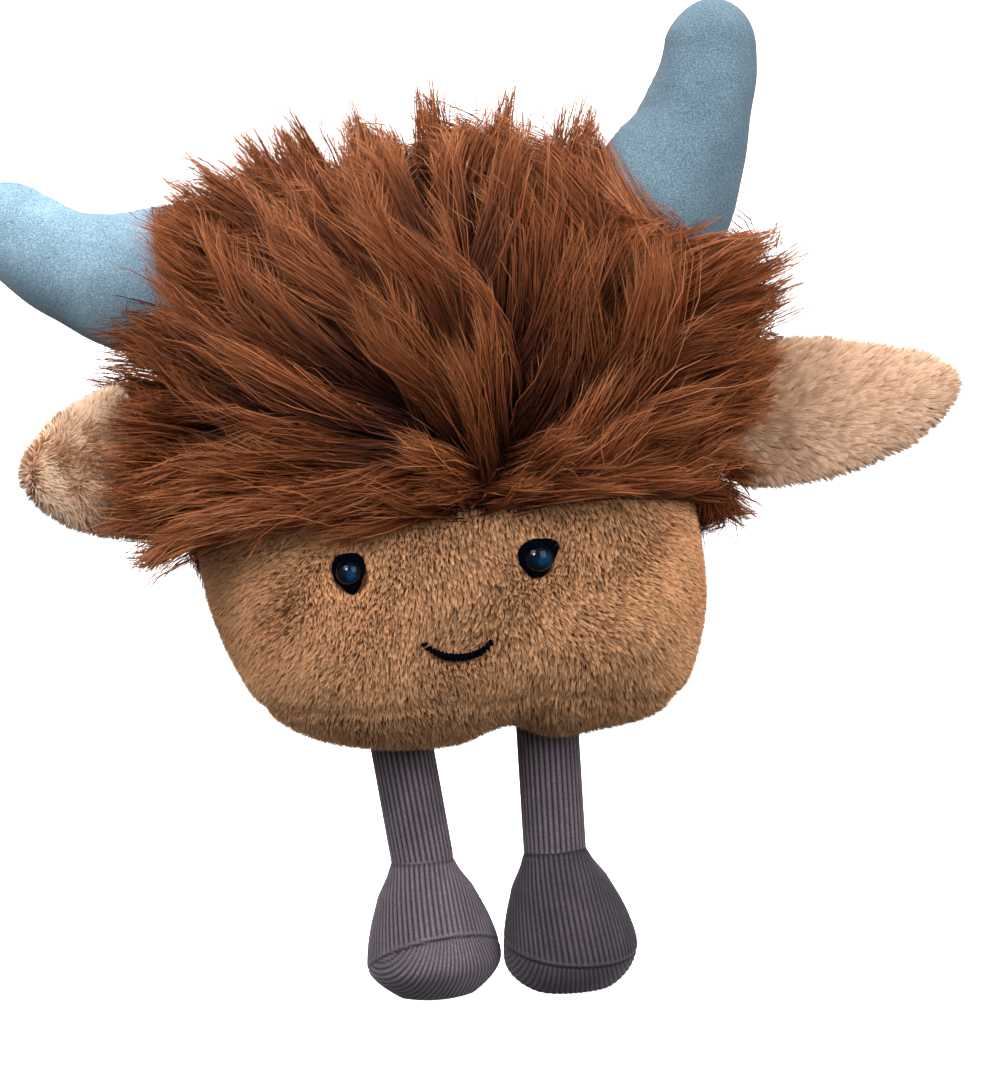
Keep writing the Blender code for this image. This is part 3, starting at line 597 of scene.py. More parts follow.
# %% [markdown]
# Horns
#
# Each horn is a sewn tube of suede round its filling. Its spine bends in the plane of the face,
# and rings of two widths stand square to it. The two halves meet in a seam along its edges, which
# shows as a fine line, and the cloth puckers a little at the inner side of the bend.

# %% Horn surface
HORN_LENGTH = 0.0820
HORN_WIDTH = 0.0443
HORN_DEPTH = 0.0380
HORN_ROOT = 0.018
HORN_STATIONS = (0.0, 0.18, 0.36, 0.58, 0.78, 1.0)
HORN_WIDTHS = (0.98, 1.00, 0.90, 0.70, 0.60, 0.52)


def table_curve(stations, values, share):
    """The CAD's easy curve through a table: a Catmull-Rom cubic between its stations."""
    stations, values = np.asarray(stations), np.asarray(values, float)
    last = len(stations) - 1
    step = np.clip(np.searchsorted(stations, share, side="left") - 1, 0, last - 1)
    t = np.clip((share - stations[step]) / (stations[step + 1] - stations[step]), 0, 1)
    before, start = values[np.maximum(step - 1, 0)], values[step]
    end, after = values[step + 1], values[np.minimum(step + 2, last)]
    bend = (2 * start + (end - before) * t + (2 * before - 5 * start + 4 * end - after) * t * t
            + (3 * start - before - 3 * end + after) * t ** 3)
    return bend / 2


def rounded_end(share, cap, power=2.0):
    """How full a form is near its end: nothing at the end itself, whole one cap away from it."""
    depth = np.minimum(share / cap, 1.0)
    return (1 - (1 - depth) ** power) ** (1 / power)


def limb(spine, shares, widths, depths, depth_axis, caps, turns, relief=None, flat_root=False):
    """Rings along a spine: each point is the spine plus side times cos and depth axis times sin.

    relief, where it is given, adds to the ring's half widths, in metres, at (share, turn). With
    flat_root the root is round in depth alone, as where a tube is sewn shut across its width.
    """
    root_cap, far_cap, far_power = caps
    centre = spine(shares)
    small = 0.001
    ahead = unit(spine(np.minimum(shares + small, 1)) - spine(np.maximum(shares - small, 0)))
    side = np.cross(depth_axis, ahead)
    full = rounded_end(shares, root_cap) * rounded_end(1 - shares, far_cap, far_power)
    half_wide = (widths * full / 2)[:, None]
    if flat_root:
        root_full = rounded_end(shares, root_cap * 0.2)
        far_full = rounded_end(1 - shares, far_cap, far_power)
        half_wide = (widths * root_full * far_full / 2)[:, None]
    half_deep = (depths * full / 2)[:, None]
    if relief is not None:
        extra = relief(shares[:, None], turns[None, :]) * full[:, None]
        half_wide, half_deep = half_wide + extra, half_deep + extra
    wide = (np.cos(turns)[None, :] * half_wide)[..., None] * side[:, None, :]
    deep = (np.sin(turns)[None, :] * half_deep)[..., None] * np.asarray(depth_axis)
    return centre[:, None, :] + wide + deep


def bent_spine(root, start_deg, end_deg, length, power=1.33, steps=400):
    """A bend in the plane of the face: the angle goes from start to end as share to a power."""
    share = (np.arange(steps) + 0.5) / steps
    angle = np.radians(start_deg + (end_deg - start_deg) * share ** power)
    ahead = np.stack([np.cos(angle), 0 * angle, np.sin(angle)], axis=-1) * length / steps
    points = np.concatenate([[root], root + np.cumsum(ahead, axis=0)])
    known = np.linspace(0, 1, steps + 1)

    def spine(share):
        """The point at a share of the bend's length, by straight steps between known points."""
        return np.stack([np.interp(share, known, points[:, axis]) for axis in range(3)], axis=-1)

    return spine


# %% Suede
# Painted light: the right horn's suede is paler higher up, as if lit from above, between these
# two heights.
PAINTED_LIGHT_LOW, PAINTED_LIGHT_HIGH = 0.186, 0.228
SUEDE, suede_shader = plain_finish("powder_blue_suede", 0.9, 0.08, 0.25, (0.8, 0.9, 1.0))
grain = noise(SUEDE, 2600, 2, 0.55)
fine = ramp(SUEDE, grain, [
    (0.34, (0.130, 0.215, 0.285)), (0.50, (0.215, 0.340, 0.435)), (0.68, (0.350, 0.510, 0.620))])
patches = ramp(SUEDE, noise(SUEDE, 60, 2), [(0.30, (0.84, 0.84, 0.85)), (0.70, (1.10, 1.09, 1.07))])
right_horn_painted_light = ramp(SUEDE, share_along(SUEDE, "Z", PAINTED_LIGHT_LOW, PAINTED_LIGHT_HIGH), [
    (0.0, (0.60, 0.59, 0.58)), (1.0, (1.22, 1.22, 1.22))])
# Painted shade: the whole left horn takes a darker copy of the same suede, 0.56 as bright.
left_horn_shade_mask = share_along(SUEDE, "X", -0.02, 0.02)
horns_painted_light_and_shade = mixed(SUEDE, left_horn_shade_mask, right_horn_painted_light, (0.56, 0.56, 0.56))
coloured(SUEDE, suede_shader, times(SUEDE, times(SUEDE, fine, patches), horns_painted_light_and_shade))
bumped(SUEDE, suede_shader, grain, 0.35 * MM, 0.5)

# %% Horns
HORN_TURNS = np.linspace(0, 2 * math.pi, 128, endpoint=False)
HORN_SHARES = (1 - np.cos(np.linspace(0, math.pi, 152)[1:-1])) / 2
HORN_CAPS = (HORN_ROOT / HORN_LENGTH, 0.16, 2.0)
HORN_SPINES = {}


def horn_relief(inner):
    """A groove along both seams, puckers across the inner side of the bend, and slow lumps.

    The seam on the inner side runs a little in front of the edge, so the viewer sees it.
    """
    way = 1 if inner == 0 else -1

    def relief(share, turn):
        """What the cloth adds to the ring's half widths, in metres, at a share and a turn."""
        shift = 0.20 * way * (np.cos(turn - inner) > 0) * ease(0.45, 0.9, share)
        across = np.sin(turn - shift)
        seam = -0.60 * MM * bell(across, 0.030)
        lips = 0.25 * MM * bell(np.abs(across) - 0.10, 0.05)
        folds = np.maximum(np.cos(turn - inner), 0) ** 3 * bell(share - 0.52, 0.16)
        wrinkle = np.sin(share * 95 + 9 * np.sin(share * 17) + 3 * np.sin(turn * 2))
        pucker = 0.20 * MM * wrinkle * folds
        lumps = 0.35 * MM * np.sin(share * 21 + turn * 2 + 1) * np.cos(turn * 3 - share * 9)
        return seam + lips + pucker + lumps * (share < 0.98)

    return relief


for side, pivot, start, end, inner in (
        ("left", (0.054177, 0.0, 0.213643), 45.0, 91.0, 0.0),
        ("right", (-0.0798, 0.0, 0.203894), 185.0, 120.0, math.pi)):
    lean = math.radians(start)
    root = np.array(pivot) - np.array([math.cos(lean), 0, math.sin(lean)]) * HORN_ROOT
    spine = bent_spine(root, start, end, HORN_LENGTH)
    HORN_SPINES[side] = spine
    widths = table_curve(HORN_STATIONS, HORN_WIDTHS, HORN_SHARES)
    grid = limb(spine, HORN_SHARES, widths * HORN_WIDTH, widths * HORN_DEPTH, (0.0, -1.0, 0.0),
                HORN_CAPS, HORN_TURNS, horn_relief(inner))
    horn = add_mesh(side + "_horn", *closed_grid(grid, spine(0.0), spine(1.0)), SUEDE)
    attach(horn, side + "_horn")
    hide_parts(side + "_horn_front", side + "_horn_back", side + "_horn_stuffing")

# %% [markdown]
# Ears
#
# An ear is two plush panels sewn edge to edge, flat as a leaf. The front panel has a longer,
# lighter pile that is brushed towards the tip in a herringbone, and the back panel has the body's
# short plush. The left ear reaches straight out, and the right ear is turned towards the viewer.

# %% Ear forms
EAR_LENGTH, EAR_WIDE, EAR_THICK, EAR_ROOT = 0.0800, 0.0440, 0.0060, 0.0036
# The skin ends short of the ear's tip, and the pile covers the rest.
EAR_SKIN = 0.0755
EAR_STATIONS = (0.0, 0.06, 0.22, 0.50, 0.76, 0.92, 1.0)
EAR_WIDTHS = (0.40, 0.56, 0.98, 0.96, 0.76, 0.52, 0.40)
EAR_THICKS = (0.95, 1.0, 1.0, 1.0, 0.95, 0.85, 0.8)
EAR_SHARES = (1 - np.cos(np.linspace(0, math.pi, 112)[1:-1])) / 2
EAR_TURNS = np.linspace(0, 2 * math.pi, 96, endpoint=False)
# forward is the turn towards the viewer in degrees, and lift the rise of the tip. narrower and
# shorter are what the pile adds to the skin. The two piles meet at the depth seam, from the ear's
# middle plane. pile is the share of the full length, and brushed how far the front lies forwards.
EAR_FORMS = {
    "left": {"pivot": (0.061891, 0.0, 0.1554), "forward": 4.0, "lift": 0.0050, "narrower": 7.2 * MM,
             "shorter": 0.0, "seam": -0.8 * MM, "pile": 1.0, "brushed": 1.4},
    "right": {"pivot": (-0.079491, 0.0, 0.1554), "forward": 58.0, "lift": -0.0040,
              "narrower": 5.2 * MM, "shorter": 3.6 * MM, "seam": -2.0 * MM, "pile": 0.74,
              "brushed": 0.15},
}
BACK_BRUSHED = 1.4
EARS = {}


def ear_lean(roots, middle_z, ahead, brushed):
    """Brushed towards the tip by a share, and away from the ear's middle line near its edges."""
    spread = np.clip((roots[:, 2] - middle_z) / 0.016, -1, 1)
    nap = ahead[None, :] * brushed + np.array([0, 0, 1.0])[None, :] * (spread * 0.8)[:, None]
    return nap + 0.30 * np.stack([soft_waves(roots, 0.010, 31 + i) for i in range(3)], axis=-1)


def ear_painted_light(roots, root, ahead):
    """Painted light and shade: browner towards the head, a painted shade under the fur, and paler
    on the whole right ear, a painted light. The pile is also paler along the rim and at the tip.
    """
    along = (roots - root) @ ahead / EAR_SKIN
    rim = np.clip(np.abs(roots[:, 2] - root[2]) / 0.019, 0, 1) ** 3
    # Painted light: the whole right ear's pile is paler, and the left ear's a little darker.
    turned = 0.36 if ahead[0] < 0 else -0.04
    return -0.34 * ease(0.55, 0.10, along) + 0.08 * ease(0.60, 1.0, along) + 0.14 * rim + turned


# %% Ears and their pile
for side, form in EAR_FORMS.items():
    sign = 1 if side == "left" else -1
    lean = math.radians(form["forward"])
    ahead = np.array([sign * math.cos(lean), -math.sin(lean), 0.0])
    face_side = np.cross(ahead, (0, 0, 1)) * sign
    root = np.array(form["pivot"]) - ahead * EAR_ROOT
    lift, reach = form["lift"], EAR_SKIN - form["shorter"]

    def spine(share, root=root, ahead=ahead, lift=lift, reach=reach):
        """Straight ahead from the root, and up by the lift times the share cubed."""
        share = np.asarray(share, float)
        rise = np.array([0, 0, lift]) * (share ** 3)[..., None]
        return root + ahead * (reach * share)[..., None] + rise

    widths = table_curve(EAR_STATIONS, EAR_WIDTHS, EAR_SHARES) * EAR_WIDE - form["narrower"]
    depths = table_curve(EAR_STATIONS, EAR_THICKS, EAR_SHARES) * EAR_THICK
    grid = limb(spine, EAR_SHARES, widths, depths, face_side, (EAR_ROOT / EAR_LENGTH, 0.16, 2.8),
                EAR_TURNS)
    normals = grid_normals(grid)
    grid = grid - normals * 0.3 * MM * soft_waves(grid, 0.02, 41)[..., None]
    ear = add_mesh(side + "_ear", *closed_grid(grid, spine(0.0), spine(1.0)), EAR_BACKING)
    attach(ear, side + "_ear")
    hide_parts(side + "_ear_front", side + "_ear_back")
    EARS[side] = (root, ahead, face_side, lift)

    def own_painted_light(at, root=root, ahead=ahead):
        """The painted light and shade of this ear's pile at its roots."""
        return ear_painted_light(at, root, ahead)

    for part, way, count, length, tufts, brushed, finish, slot in (
            ("front", 1, 60000, 4.0 * MM, 1.6 * MM, form["brushed"], EAR_FINISH, "ear_plush"),
            ("back", -1, 42000, 2.7 * MM, 1.3 * MM, BACK_BRUSHED, PLUSH_FINISH, "plush")):
        def facing(p, way=way, root=root, face_side=face_side, seam=form["seam"]):
            """Picks places on one side of the seam, and a little beyond it."""
            return way * ((p - root) @ face_side - seam) > -0.4 * MM

        roots, own_normals, _ = scatter(grid, normals, count, dice, facing)
        nap = ear_lean(roots, spine(0.4)[2], ahead, brushed)
        made = blades(f"{side}_ear_pile_{part}", roots, own_normals, nap, length * form["pile"],
                      0.38 * MM, tufts, 0.5, dice, finish, own_painted_light)
        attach(made, side + "_ear")

# %% [markdown]
# Long fur
#
# The crown is a long-pile faux fur. Its fibres are about 45 mm long, all run away from one point
# above the forehead, and stick together in locks with dark gaps between them. Combing real hair
# curves would look much the same, but they do not leave this file as faces, so every fibre is a
# thin tapered ribbon. Its line is a formula: between the scalp and the crown's outer form, it runs
# along the flow. Fibres draw together in wisps, and wisps in locks, towards the lock's tip. A short
# table adds the locks that stand out most: the lobe over one ear, the spikes and the fringe.

# %% Form of the crown
FUR_MIDDLE = np.array([BODY_X, 0.0, BODY_BOTTOM + 0.0960])
PARTING = np.array([0.0060, -0.0560, 0.1400])
# Half the crown's width and depth, and its reach up and down, all from its middle.
CROWN_WIDE, CROWN_DEEP, CROWN_UP, CROWN_DOWN = 0.0905, 0.0650, 0.0775, 0.0720
CROWN_PLAN_POWER, CROWN_UP_POWER, CROWN_DOWN_POWER = 2.3, 2.6, 2.3
# Each lobe's direction from the middle, its swell and its spread.
LOBES = (((0.0905, 0.0, 0.0270), 0.0110, 0.045), ((-0.0940, -0.0250, -0.0340), 0.0080, 0.035))


def crown_radius(aim):
    """The crown's outer form, from its middle: a superellipse in plan and in height, and two lobes.

    A lobe adds its swell times e to the power of: cosine of the angle to it, less one, over its
    spread.
    """
    power = np.where(aim[..., 2] > 0, CROWN_UP_POWER, CROWN_DOWN_POWER)
    reach = np.where(aim[..., 2] > 0, CROWN_UP, CROWN_DOWN)
    flat = ((np.abs(aim[..., 0]) / CROWN_WIDE) ** CROWN_PLAN_POWER
            + (np.abs(aim[..., 1]) / CROWN_DEEP) ** CROWN_PLAN_POWER) ** (power / CROWN_PLAN_POWER)
    radius = (flat + (np.abs(aim[..., 2]) / reach) ** power) ** (-1 / power)
    for place, swell, spread in LOBES:
        radius = radius + swell * np.exp((aim @ unit(np.array(place)) - 1) / spread)
    return radius


def scalp_radius(aim):
    """Where a line from the crown's middle leaves the body, found by halving a range 18 times."""
    near, far = np.zeros(aim.shape[:-1]), np.full(aim.shape[:-1], 0.14)
    for _ in range(18):
        half = (near + far) / 2
        place = np.abs(FUR_MIDDLE + aim * half[..., None] - (BODY_X, 0, WAIST))
        above = FUR_MIDDLE[2] + aim[..., 2] * half > WAIST
        power = np.where(above, HIGH_POWER, LOW_POWER)
        reach = np.where(above, BODY_SIZE[2] - WAIST_RISE, WAIST_RISE)
        flat = ((place[..., 0] * 2 / BODY_SIZE[0]) ** PLAN_POWER
                + (place[..., 1] * 2 / BODY_SIZE[1]) ** PLAN_POWER)
        inside = flat ** (power / PLAN_POWER) + (place[..., 2] / reach) ** power < 1
        near, far = np.where(inside, half, near), np.where(inside, far, half)
    return near


# %% Fur guides
LOCKS = 560
WISPS = 5900
FIBRES_IN_WISP = 18
FUR_STEPS = 4
LOCK_REACH = 0.041
# The share run along a fibre at its points, from 0 at the root to 1 at the tip.
RUN = np.linspace(0, 1, FUR_STEPS + 1)[None, :, None]


def fur_flow(roots, normals):
    """The run of the fur: away from the parting in front, never straight down, and down behind."""
    away = roots - PARTING
    away[:, 2] = np.where(away[:, 2] < 0, 0.25 * away[:, 2], away[:, 2])
    behind = ease(0.000, 0.046, roots[:, 1:2])
    flow = unit(away) * (1 - behind) + np.array([0, 0.1, -1.0]) * behind
    return unit(in_cloth(flow, normals))


def fur_lines(roots, normals, height, dice):
    """Guides, one for each lock, as an array of count by points by 3.

    A guide's shadow on the scalp runs from its root along the flow, and curls and waves to a side.
    Its height over the scalp rises, soon and then slowly, to a share of the crown's thickness there.
    """
    count = len(roots)
    flow = fur_flow(roots, normals)
    across = np.cross(normals, flow)
    flow = unit(flow + across * dice.normal(scale=0.27, size=(count, 1)))
    reach = LOCK_REACH * dice.uniform(0.78, 1.15, (count, 1, 1))
    low = ease(0.175, FUR_SEAM, roots[:, 2])[:, None, None]
    behind = ease(0.000, 0.030, roots[:, 1])[:, None, None]
    reach = reach * (1 - 0.72 * low * behind)
    curl = dice.normal(scale=0.22, size=(count, 1, 1)) * RUN ** 2
    waves, phase = dice.uniform(4, 9, (count, 1, 1)), dice.uniform(0, 6.3, (count, 1, 1))
    wave = 0.05 * np.sin(RUN * waves + phase) * RUN
    shadow = roots[:, None] + (flow[:, None] * RUN + across[:, None] * (curl + wave)) * reach
    aim = unit(shadow - FUR_MIDDLE)
    scalp, crown = scalp_radius(aim), crown_radius(aim)
    rise = (1 - (1 - RUN[..., 0]) ** 2.6) * height[:, None]
    radius = scalp + np.maximum(crown - scalp, 0.006) * rise
    lines = FUR_MIDDLE + aim * radius[..., None]
    lines[:, 0] = roots
    return lines


def fur_keep(points):
    """Fur grows above its seam, which is the scalp's lower edge."""
    return (points[..., 2] > FUR_SEAM - 0.0012).astype(float)


# %% Locks that stand out
# Where each is rooted near the scalp, and where its tip is, in millimetres.
STANDING_LOCKS = np.array([
    (48, -25, 176, 94, -30, 198), (44, -25, 182, 86, -30, 205), (40, -22, 188, 79, -28, 207),
    (50, -22, 168, 92, -28, 187), (50, -25, 160, 85, -32, 175), (52, -24, 152, 78, -36, 160),
    (47, -20, 172, 90, -20, 193), (42, -24, 178, 82, -34, 199), (56, -5, 140, 75, 0, 126),
    (-48, -15, 205, -82, -15, 231), (-42, -15, 208, -74, -15, 237), (-38, -16, 211, -60, -16, 242),
    (-46, -18, 200, -83, -26, 222), (-30, -15, 216, -45, -15, 246), (-18, -18, 218, -25, -18, 244),
    (-2, -15, 221, -4, -15, 252), (10, -15, 220, 19, -15, 248), (24, -12, 214, 39, -12, 246),
    (32, -12, 210, 47, -14, 240), (-54, -30, 188, -83, -34, 217), (-54, -28, 182, -81, -34, 206),
    (-56, -28, 172, -90, -34, 190), (-58, -22, 166, -107, -20, 182), (-56, -24, 172, -102, -22, 188),
    (-60, -26, 157, -99, -40, 168), (-62, -25, 152, -99, -46, 157),
    (-60, -32, 139, -95, -45, 127), (-56, -36, 140, -87, -48, 133), (-62, -28, 143, -101, -45, 139),
    (-62, -26, 147, -100, -47, 148), (-38, -46, 139, -70, -52, 135), (-22, -50, 139, -52, -56, 137),
    (-8, -52, 139, -35, -58, 138), (25, -50, 140, 58, -46, 141), (10, -52, 140, 42, -54, 139),
    (2, -53, 139, 20, -58, 140), (4, -53, 139, -14, -59, 139), (8, -52, 141, 30, -60, 150),
    (2, -52, 141, -20, -61, 152), (30, -46, 150, 66, -44, 160), (-48, -40, 140, -80, -50, 136),
    (-52, -38, 144, -90, -48, 143), (-30, -48, 141, -62, -56, 139), (-40, -45, 146, -76, -54, 149),
]) * MM


def standing_lines(table, dice):
    """Guides of the locks in the table: each an arc whose middle point is lifted off the scalp.

    A point is root times (1 - t) squared, plus middle times 2 t (1 - t), plus tip times t squared.
    """
    guess = table[:, :3]
    tips = table[:, 3:] + dice.normal(scale=1.6 * MM, size=(len(table), 3))
    flat, way = BODY_GRID.reshape(-1, 3), BODY_NORMALS.reshape(-1, 3)
    found = np.array([np.linalg.norm(flat - place, axis=1).argmin() for place in guess])
    roots, normals = flat[found], way[found]
    run = tips - roots
    lift = normals * np.linalg.norm(run, axis=1, keepdims=True) * 0.34
    middle = roots + run * 0.42 + lift
    lines = (roots[:, None] * (1 - RUN) ** 2 + middle[:, None] * 2 * RUN * (1 - RUN)
             + tips[:, None] * RUN ** 2)
    return roots, normals, lines


# %% Locks and wisps
dice = np.random.default_rng(17)
lock_roots, lock_normals, fur_area = scatter(BODY_GRID, BODY_NORMALS, LOCKS, dice, fur_keep)
lock_height = dice.uniform(0.66, 1.12, LOCKS)
lock_lines = fur_lines(lock_roots, lock_normals, lock_height, dice)
wisp_roots, wisp_normals, _ = scatter(BODY_GRID, BODY_NORMALS, WISPS, dice, fur_keep)
nearest = np.empty(WISPS, int)
BATCH = 1000
for start in range(0, WISPS, BATCH):
    gap = np.linalg.norm(wisp_roots[start:start + BATCH, None] - lock_roots[None], axis=-1)
    nearest[start:start + BATCH] = gap.argmin(axis=1)

# Each lock in the table is made twice, with tips that differ a little.
WISPS_IN_STANDING = 9
twice = np.concatenate([STANDING_LOCKS, STANDING_LOCKS])
own_roots, own_normals, own_lines = standing_lines(twice, dice)
around = dice.normal(scale=3.0 * MM, size=(len(twice), WISPS_IN_STANDING, 3))
around = in_cloth(around, own_normals[:, None])
nearest = np.concatenate([nearest, LOCKS + np.repeat(np.arange(len(twice)), WISPS_IN_STANDING)])
wisp_roots = np.concatenate([wisp_roots, (own_roots[:, None] + around).reshape(-1, 3)])
wisp_normals = np.concatenate([wisp_normals, np.repeat(own_normals, WISPS_IN_STANDING, axis=0)])
lock_roots = np.concatenate([lock_roots, own_roots])
lock_lines = np.concatenate([lock_lines, own_lines])
lock_tone = dice.normal(scale=0.10, size=len(lock_roots))
wisp_count = len(wisp_roots)
count = wisp_count * FIBRES_IN_WISP
print("fur covers", round(fur_area * 1e6), "square mm with", count, "fibres")

# %% Wisps drawn together in their locks
gather = dice.uniform(0.35, 0.93, (wisp_count, 1, 1)) * RUN ** 1.2
shortened = dice.uniform(0.80, 1.04, (wisp_count, 1, 1))
wisp_lines = wisp_roots[:, None] + (lock_lines - lock_roots[:, None])[nearest] * shortened
wisp_lines = wisp_lines - (wisp_roots - lock_roots[nearest])[:, None] * gather
drift = np.cumsum(dice.normal(scale=1.15 * MM, size=wisp_lines.shape), axis=1) * RUN
wisp_lines = wisp_lines + drift
# The fur is paler at the top and a little at the left side. It is paler at the lower right side
# too, a painted light on the lit fringe.
tip_x, _, tip_z = wisp_lines[:, -1].T
wisp_tone_and_painted_light = lock_tone[nearest] + dice.normal(scale=0.10, size=wisp_count)
wisp_tone_and_painted_light = wisp_tone_and_painted_light + 0.26 * ease(0.195, 0.240, tip_z)
wisp_tone_and_painted_light = wisp_tone_and_painted_light + 0.34 * ease(-0.055, -0.090, tip_x) * ease(0.165, 0.140, tip_z)
wisp_tone_and_painted_light = wisp_tone_and_painted_light + 0.14 * ease(0.040, 0.070, tip_x)

# %% Fibres of each wisp
of_wisp = np.repeat(np.arange(wisp_count), FIBRES_IN_WISP)
spread = in_cloth(dice.normal(scale=1.05 * MM, size=(count, 3)), wisp_normals[of_wisp])
short = dice.random(count) < 0.2
stretch = np.where(short, dice.uniform(0.35, 0.7, count), dice.uniform(0.76, 1.06, count))
run = (wisp_lines - wisp_roots[:, None])[of_wisp] * stretch[:, None, None]
lines = wisp_roots[of_wisp][:, None] + spread[:, None] * (1 - 0.66 * RUN ** 0.9) + run
strays = dice.random(count) < 0.12
wildness = np.where(strays, 3.6, 1.0)[:, None, None]
wander = np.cumsum(dice.normal(scale=0.46 * MM, size=lines.shape), axis=1) * RUN * wildness
lines = lines + wander
tone = 0.5 + wisp_tone_and_painted_light[of_wisp] + dice.normal(scale=0.15, size=count) + 0.12 * strays
glints = dice.random(count) < 0.012
tone = np.clip(tone + 0.6 * glints, 0.02, 0.98)


# %% Keep the fur out of the horns and ears
def push_from_horns(lines):
    """Points inside a horn's round section move straight out of it, 0.6 mm clear."""
    flat = lines.reshape(-1, 3)
    for spine in HORN_SPINES.values():
        shares = np.linspace(0.0, 1.0, 46)
        centres = spine(shares)
        radius = table_curve(HORN_STATIONS, HORN_WIDTHS, shares) * HORN_WIDTH / 2
        near = np.linalg.norm(flat - centres[15], axis=1) < 0.085
        points = flat[near]
        gap = np.linalg.norm(points[:, None] - centres[None], axis=-1) - radius[None]
        closest = gap.argmin(axis=1)
        depth = gap[np.arange(len(points)), closest]
        out = unit(points - centres[closest])
        flat[near] = points + out * np.maximum(0.6 * MM - depth, 0)[:, None]
    return flat.reshape(lines.shape)


EAR_CLEARANCE = 0.0036


def push_from_ears(lines):
    """Points inside an ear's flat section move out of it, to the side where they are."""
    flat = lines.reshape(-1, 3)
    for root, ahead, face_side, lift in EARS.values():
        local = flat - root
        along, deep = local @ ahead, local @ face_side
        share = np.clip(along / EAR_LENGTH, 0, 1)
        high = local[:, 2] - lift * share ** 3
        half = table_curve(EAR_STATIONS, EAR_WIDTHS, share) * (EAR_WIDE / 2)
        round_section = np.sqrt(np.clip(1 - (high / np.maximum(half, 1e-4)) ** 2, 0, 1))
        thick = EAR_CLEARANCE * round_section + 1.6 * MM
        inside = ((along > -0.002) & (along < EAR_LENGTH) & (np.abs(high) < half + 0.001)
                  & (np.abs(deep) < thick))
        target = np.where(deep >= 0, 1, -1) * thick
        flat[inside] += face_side * (target - deep)[inside, None]
    return flat.reshape(lines.shape)


RIGHT_HORN_LIMIT, LEFT_HORN_LEVEL = -0.0800, 0.2020


def shorten_by_horn(lines, free, dice):
    """Fibres that would hide the right horn end near an upright line over its root.

    These are fibres whose tip lies past the line, in front of the horn and at its height. Each
    keeps its form, and is shrunk towards its root until the tip reaches the line. The locks in
    the table are free of this.
    """
    root, tip = lines[:, 0], lines[:, -1]
    limit = RIGHT_HORN_LIMIT + dice.normal(scale=2.2 * MM, size=len(lines))
    seen = ((tip[:, 2] > 0.197) & (tip[:, 2] < 0.228) & (tip[:, 1] < 0.012)
            & (tip[:, 0] < limit) & ~free)
    share = np.clip((limit - root[:, 0]) / np.minimum(tip[:, 0] - root[:, 0], -1e-4), 0.3, 1)
    share = np.where(seen, share, 1.0)[:, None, None]
    return root[:, None] + (lines - root[:, None]) * share


def lower_by_horn(lines):
    """In front of the left horn, a third of the fur's height over a level is kept."""
    x, y, z = lines[..., 0], lines[..., 1], lines[..., 2]
    left = ease(0.040, 0.050, x) * ease(0.012, 0.004, y)
    return np.stack([x, y, z - np.maximum(z - LEFT_HORN_LEVEL, 0) * 0.67 * left], axis=-1)


def lift_fringe(lines, dice):
    """The fringe's lower edge rises from the toy's right to its left. Lower fibres are drawn up."""
    x, y, z = lines[..., 0], lines[..., 1], lines[..., 2]
    edge = np.interp(x, (-0.075, -0.045, -0.020, 0.030), (0.1275, 0.1315, 0.1345, 0.1375))
    edge = edge + dice.normal(scale=1.6 * MM, size=(len(lines), 1))
    front = ease(-0.012, -0.022, y) * ease(-0.090, -0.075, x)
    return np.stack([x, y, z + np.maximum(edge - z, 0) * 0.62 * front], axis=-1)


in_table = (nearest >= LOCKS)[of_wisp]
lines = lift_fringe(lower_by_horn(shorten_by_horn(lines, in_table, dice)), dice)
lines[:, 1:] = push_from_ears(push_from_horns(lines[:, 1:]))

# %% Ribbons
FIBRE_HALF_WIDTH = 0.145 * MM
tangent = unit(np.gradient(lines, axis=1))
outward = unit(lines - FUR_MIDDLE)
flat_side = unit(np.cross(tangent, outward))
edge_side = np.cross(tangent, flat_side)
roll = dice.normal(scale=0.75, size=(count, 1, 1))
side = flat_side * np.cos(roll) + edge_side * np.sin(roll)
half_width = (FIBRE_HALF_WIDTH * (1 - 0.30 * RUN)) * dice.uniform(0.7, 1.3, (count, 1, 1))
left, right = lines - side * half_width, lines + side * half_width
per = 2 * FUR_STEPS + 1
points = np.empty((count, per, 3))
points[:, 0:per - 1:2] = left[:, :-1]
points[:, 1:per - 1:2] = right[:, :-1]
points[:, per - 1] = lines[:, -1]
quad_pattern = np.array([[2 * i, 2 * i + 1, 2 * i + 3, 2 * i + 2] for i in range(FUR_STEPS - 1)])
tri_pattern = np.array([2 * FUR_STEPS - 2, 2 * FUR_STEPS - 1, 2 * FUR_STEPS])
quad_u = np.array([[i, i, i + 1, i + 1] for i in range(FUR_STEPS - 1)]) / FUR_STEPS
tri_u = np.array([FUR_STEPS - 1, FUR_STEPS - 1, FUR_STEPS]) / FUR_STEPS
first_face = np.cross(points[:, 1] - points[:, 0], points[:, 3] - points[:, 0])
if np.einsum("ij,ij->i", first_face, outward[:, 0]).mean() < 0:
    quad_pattern, tri_pattern = quad_pattern[:, ::-1], tri_pattern[::-1]
    quad_u, tri_u = quad_u[:, ::-1], tri_u[::-1]


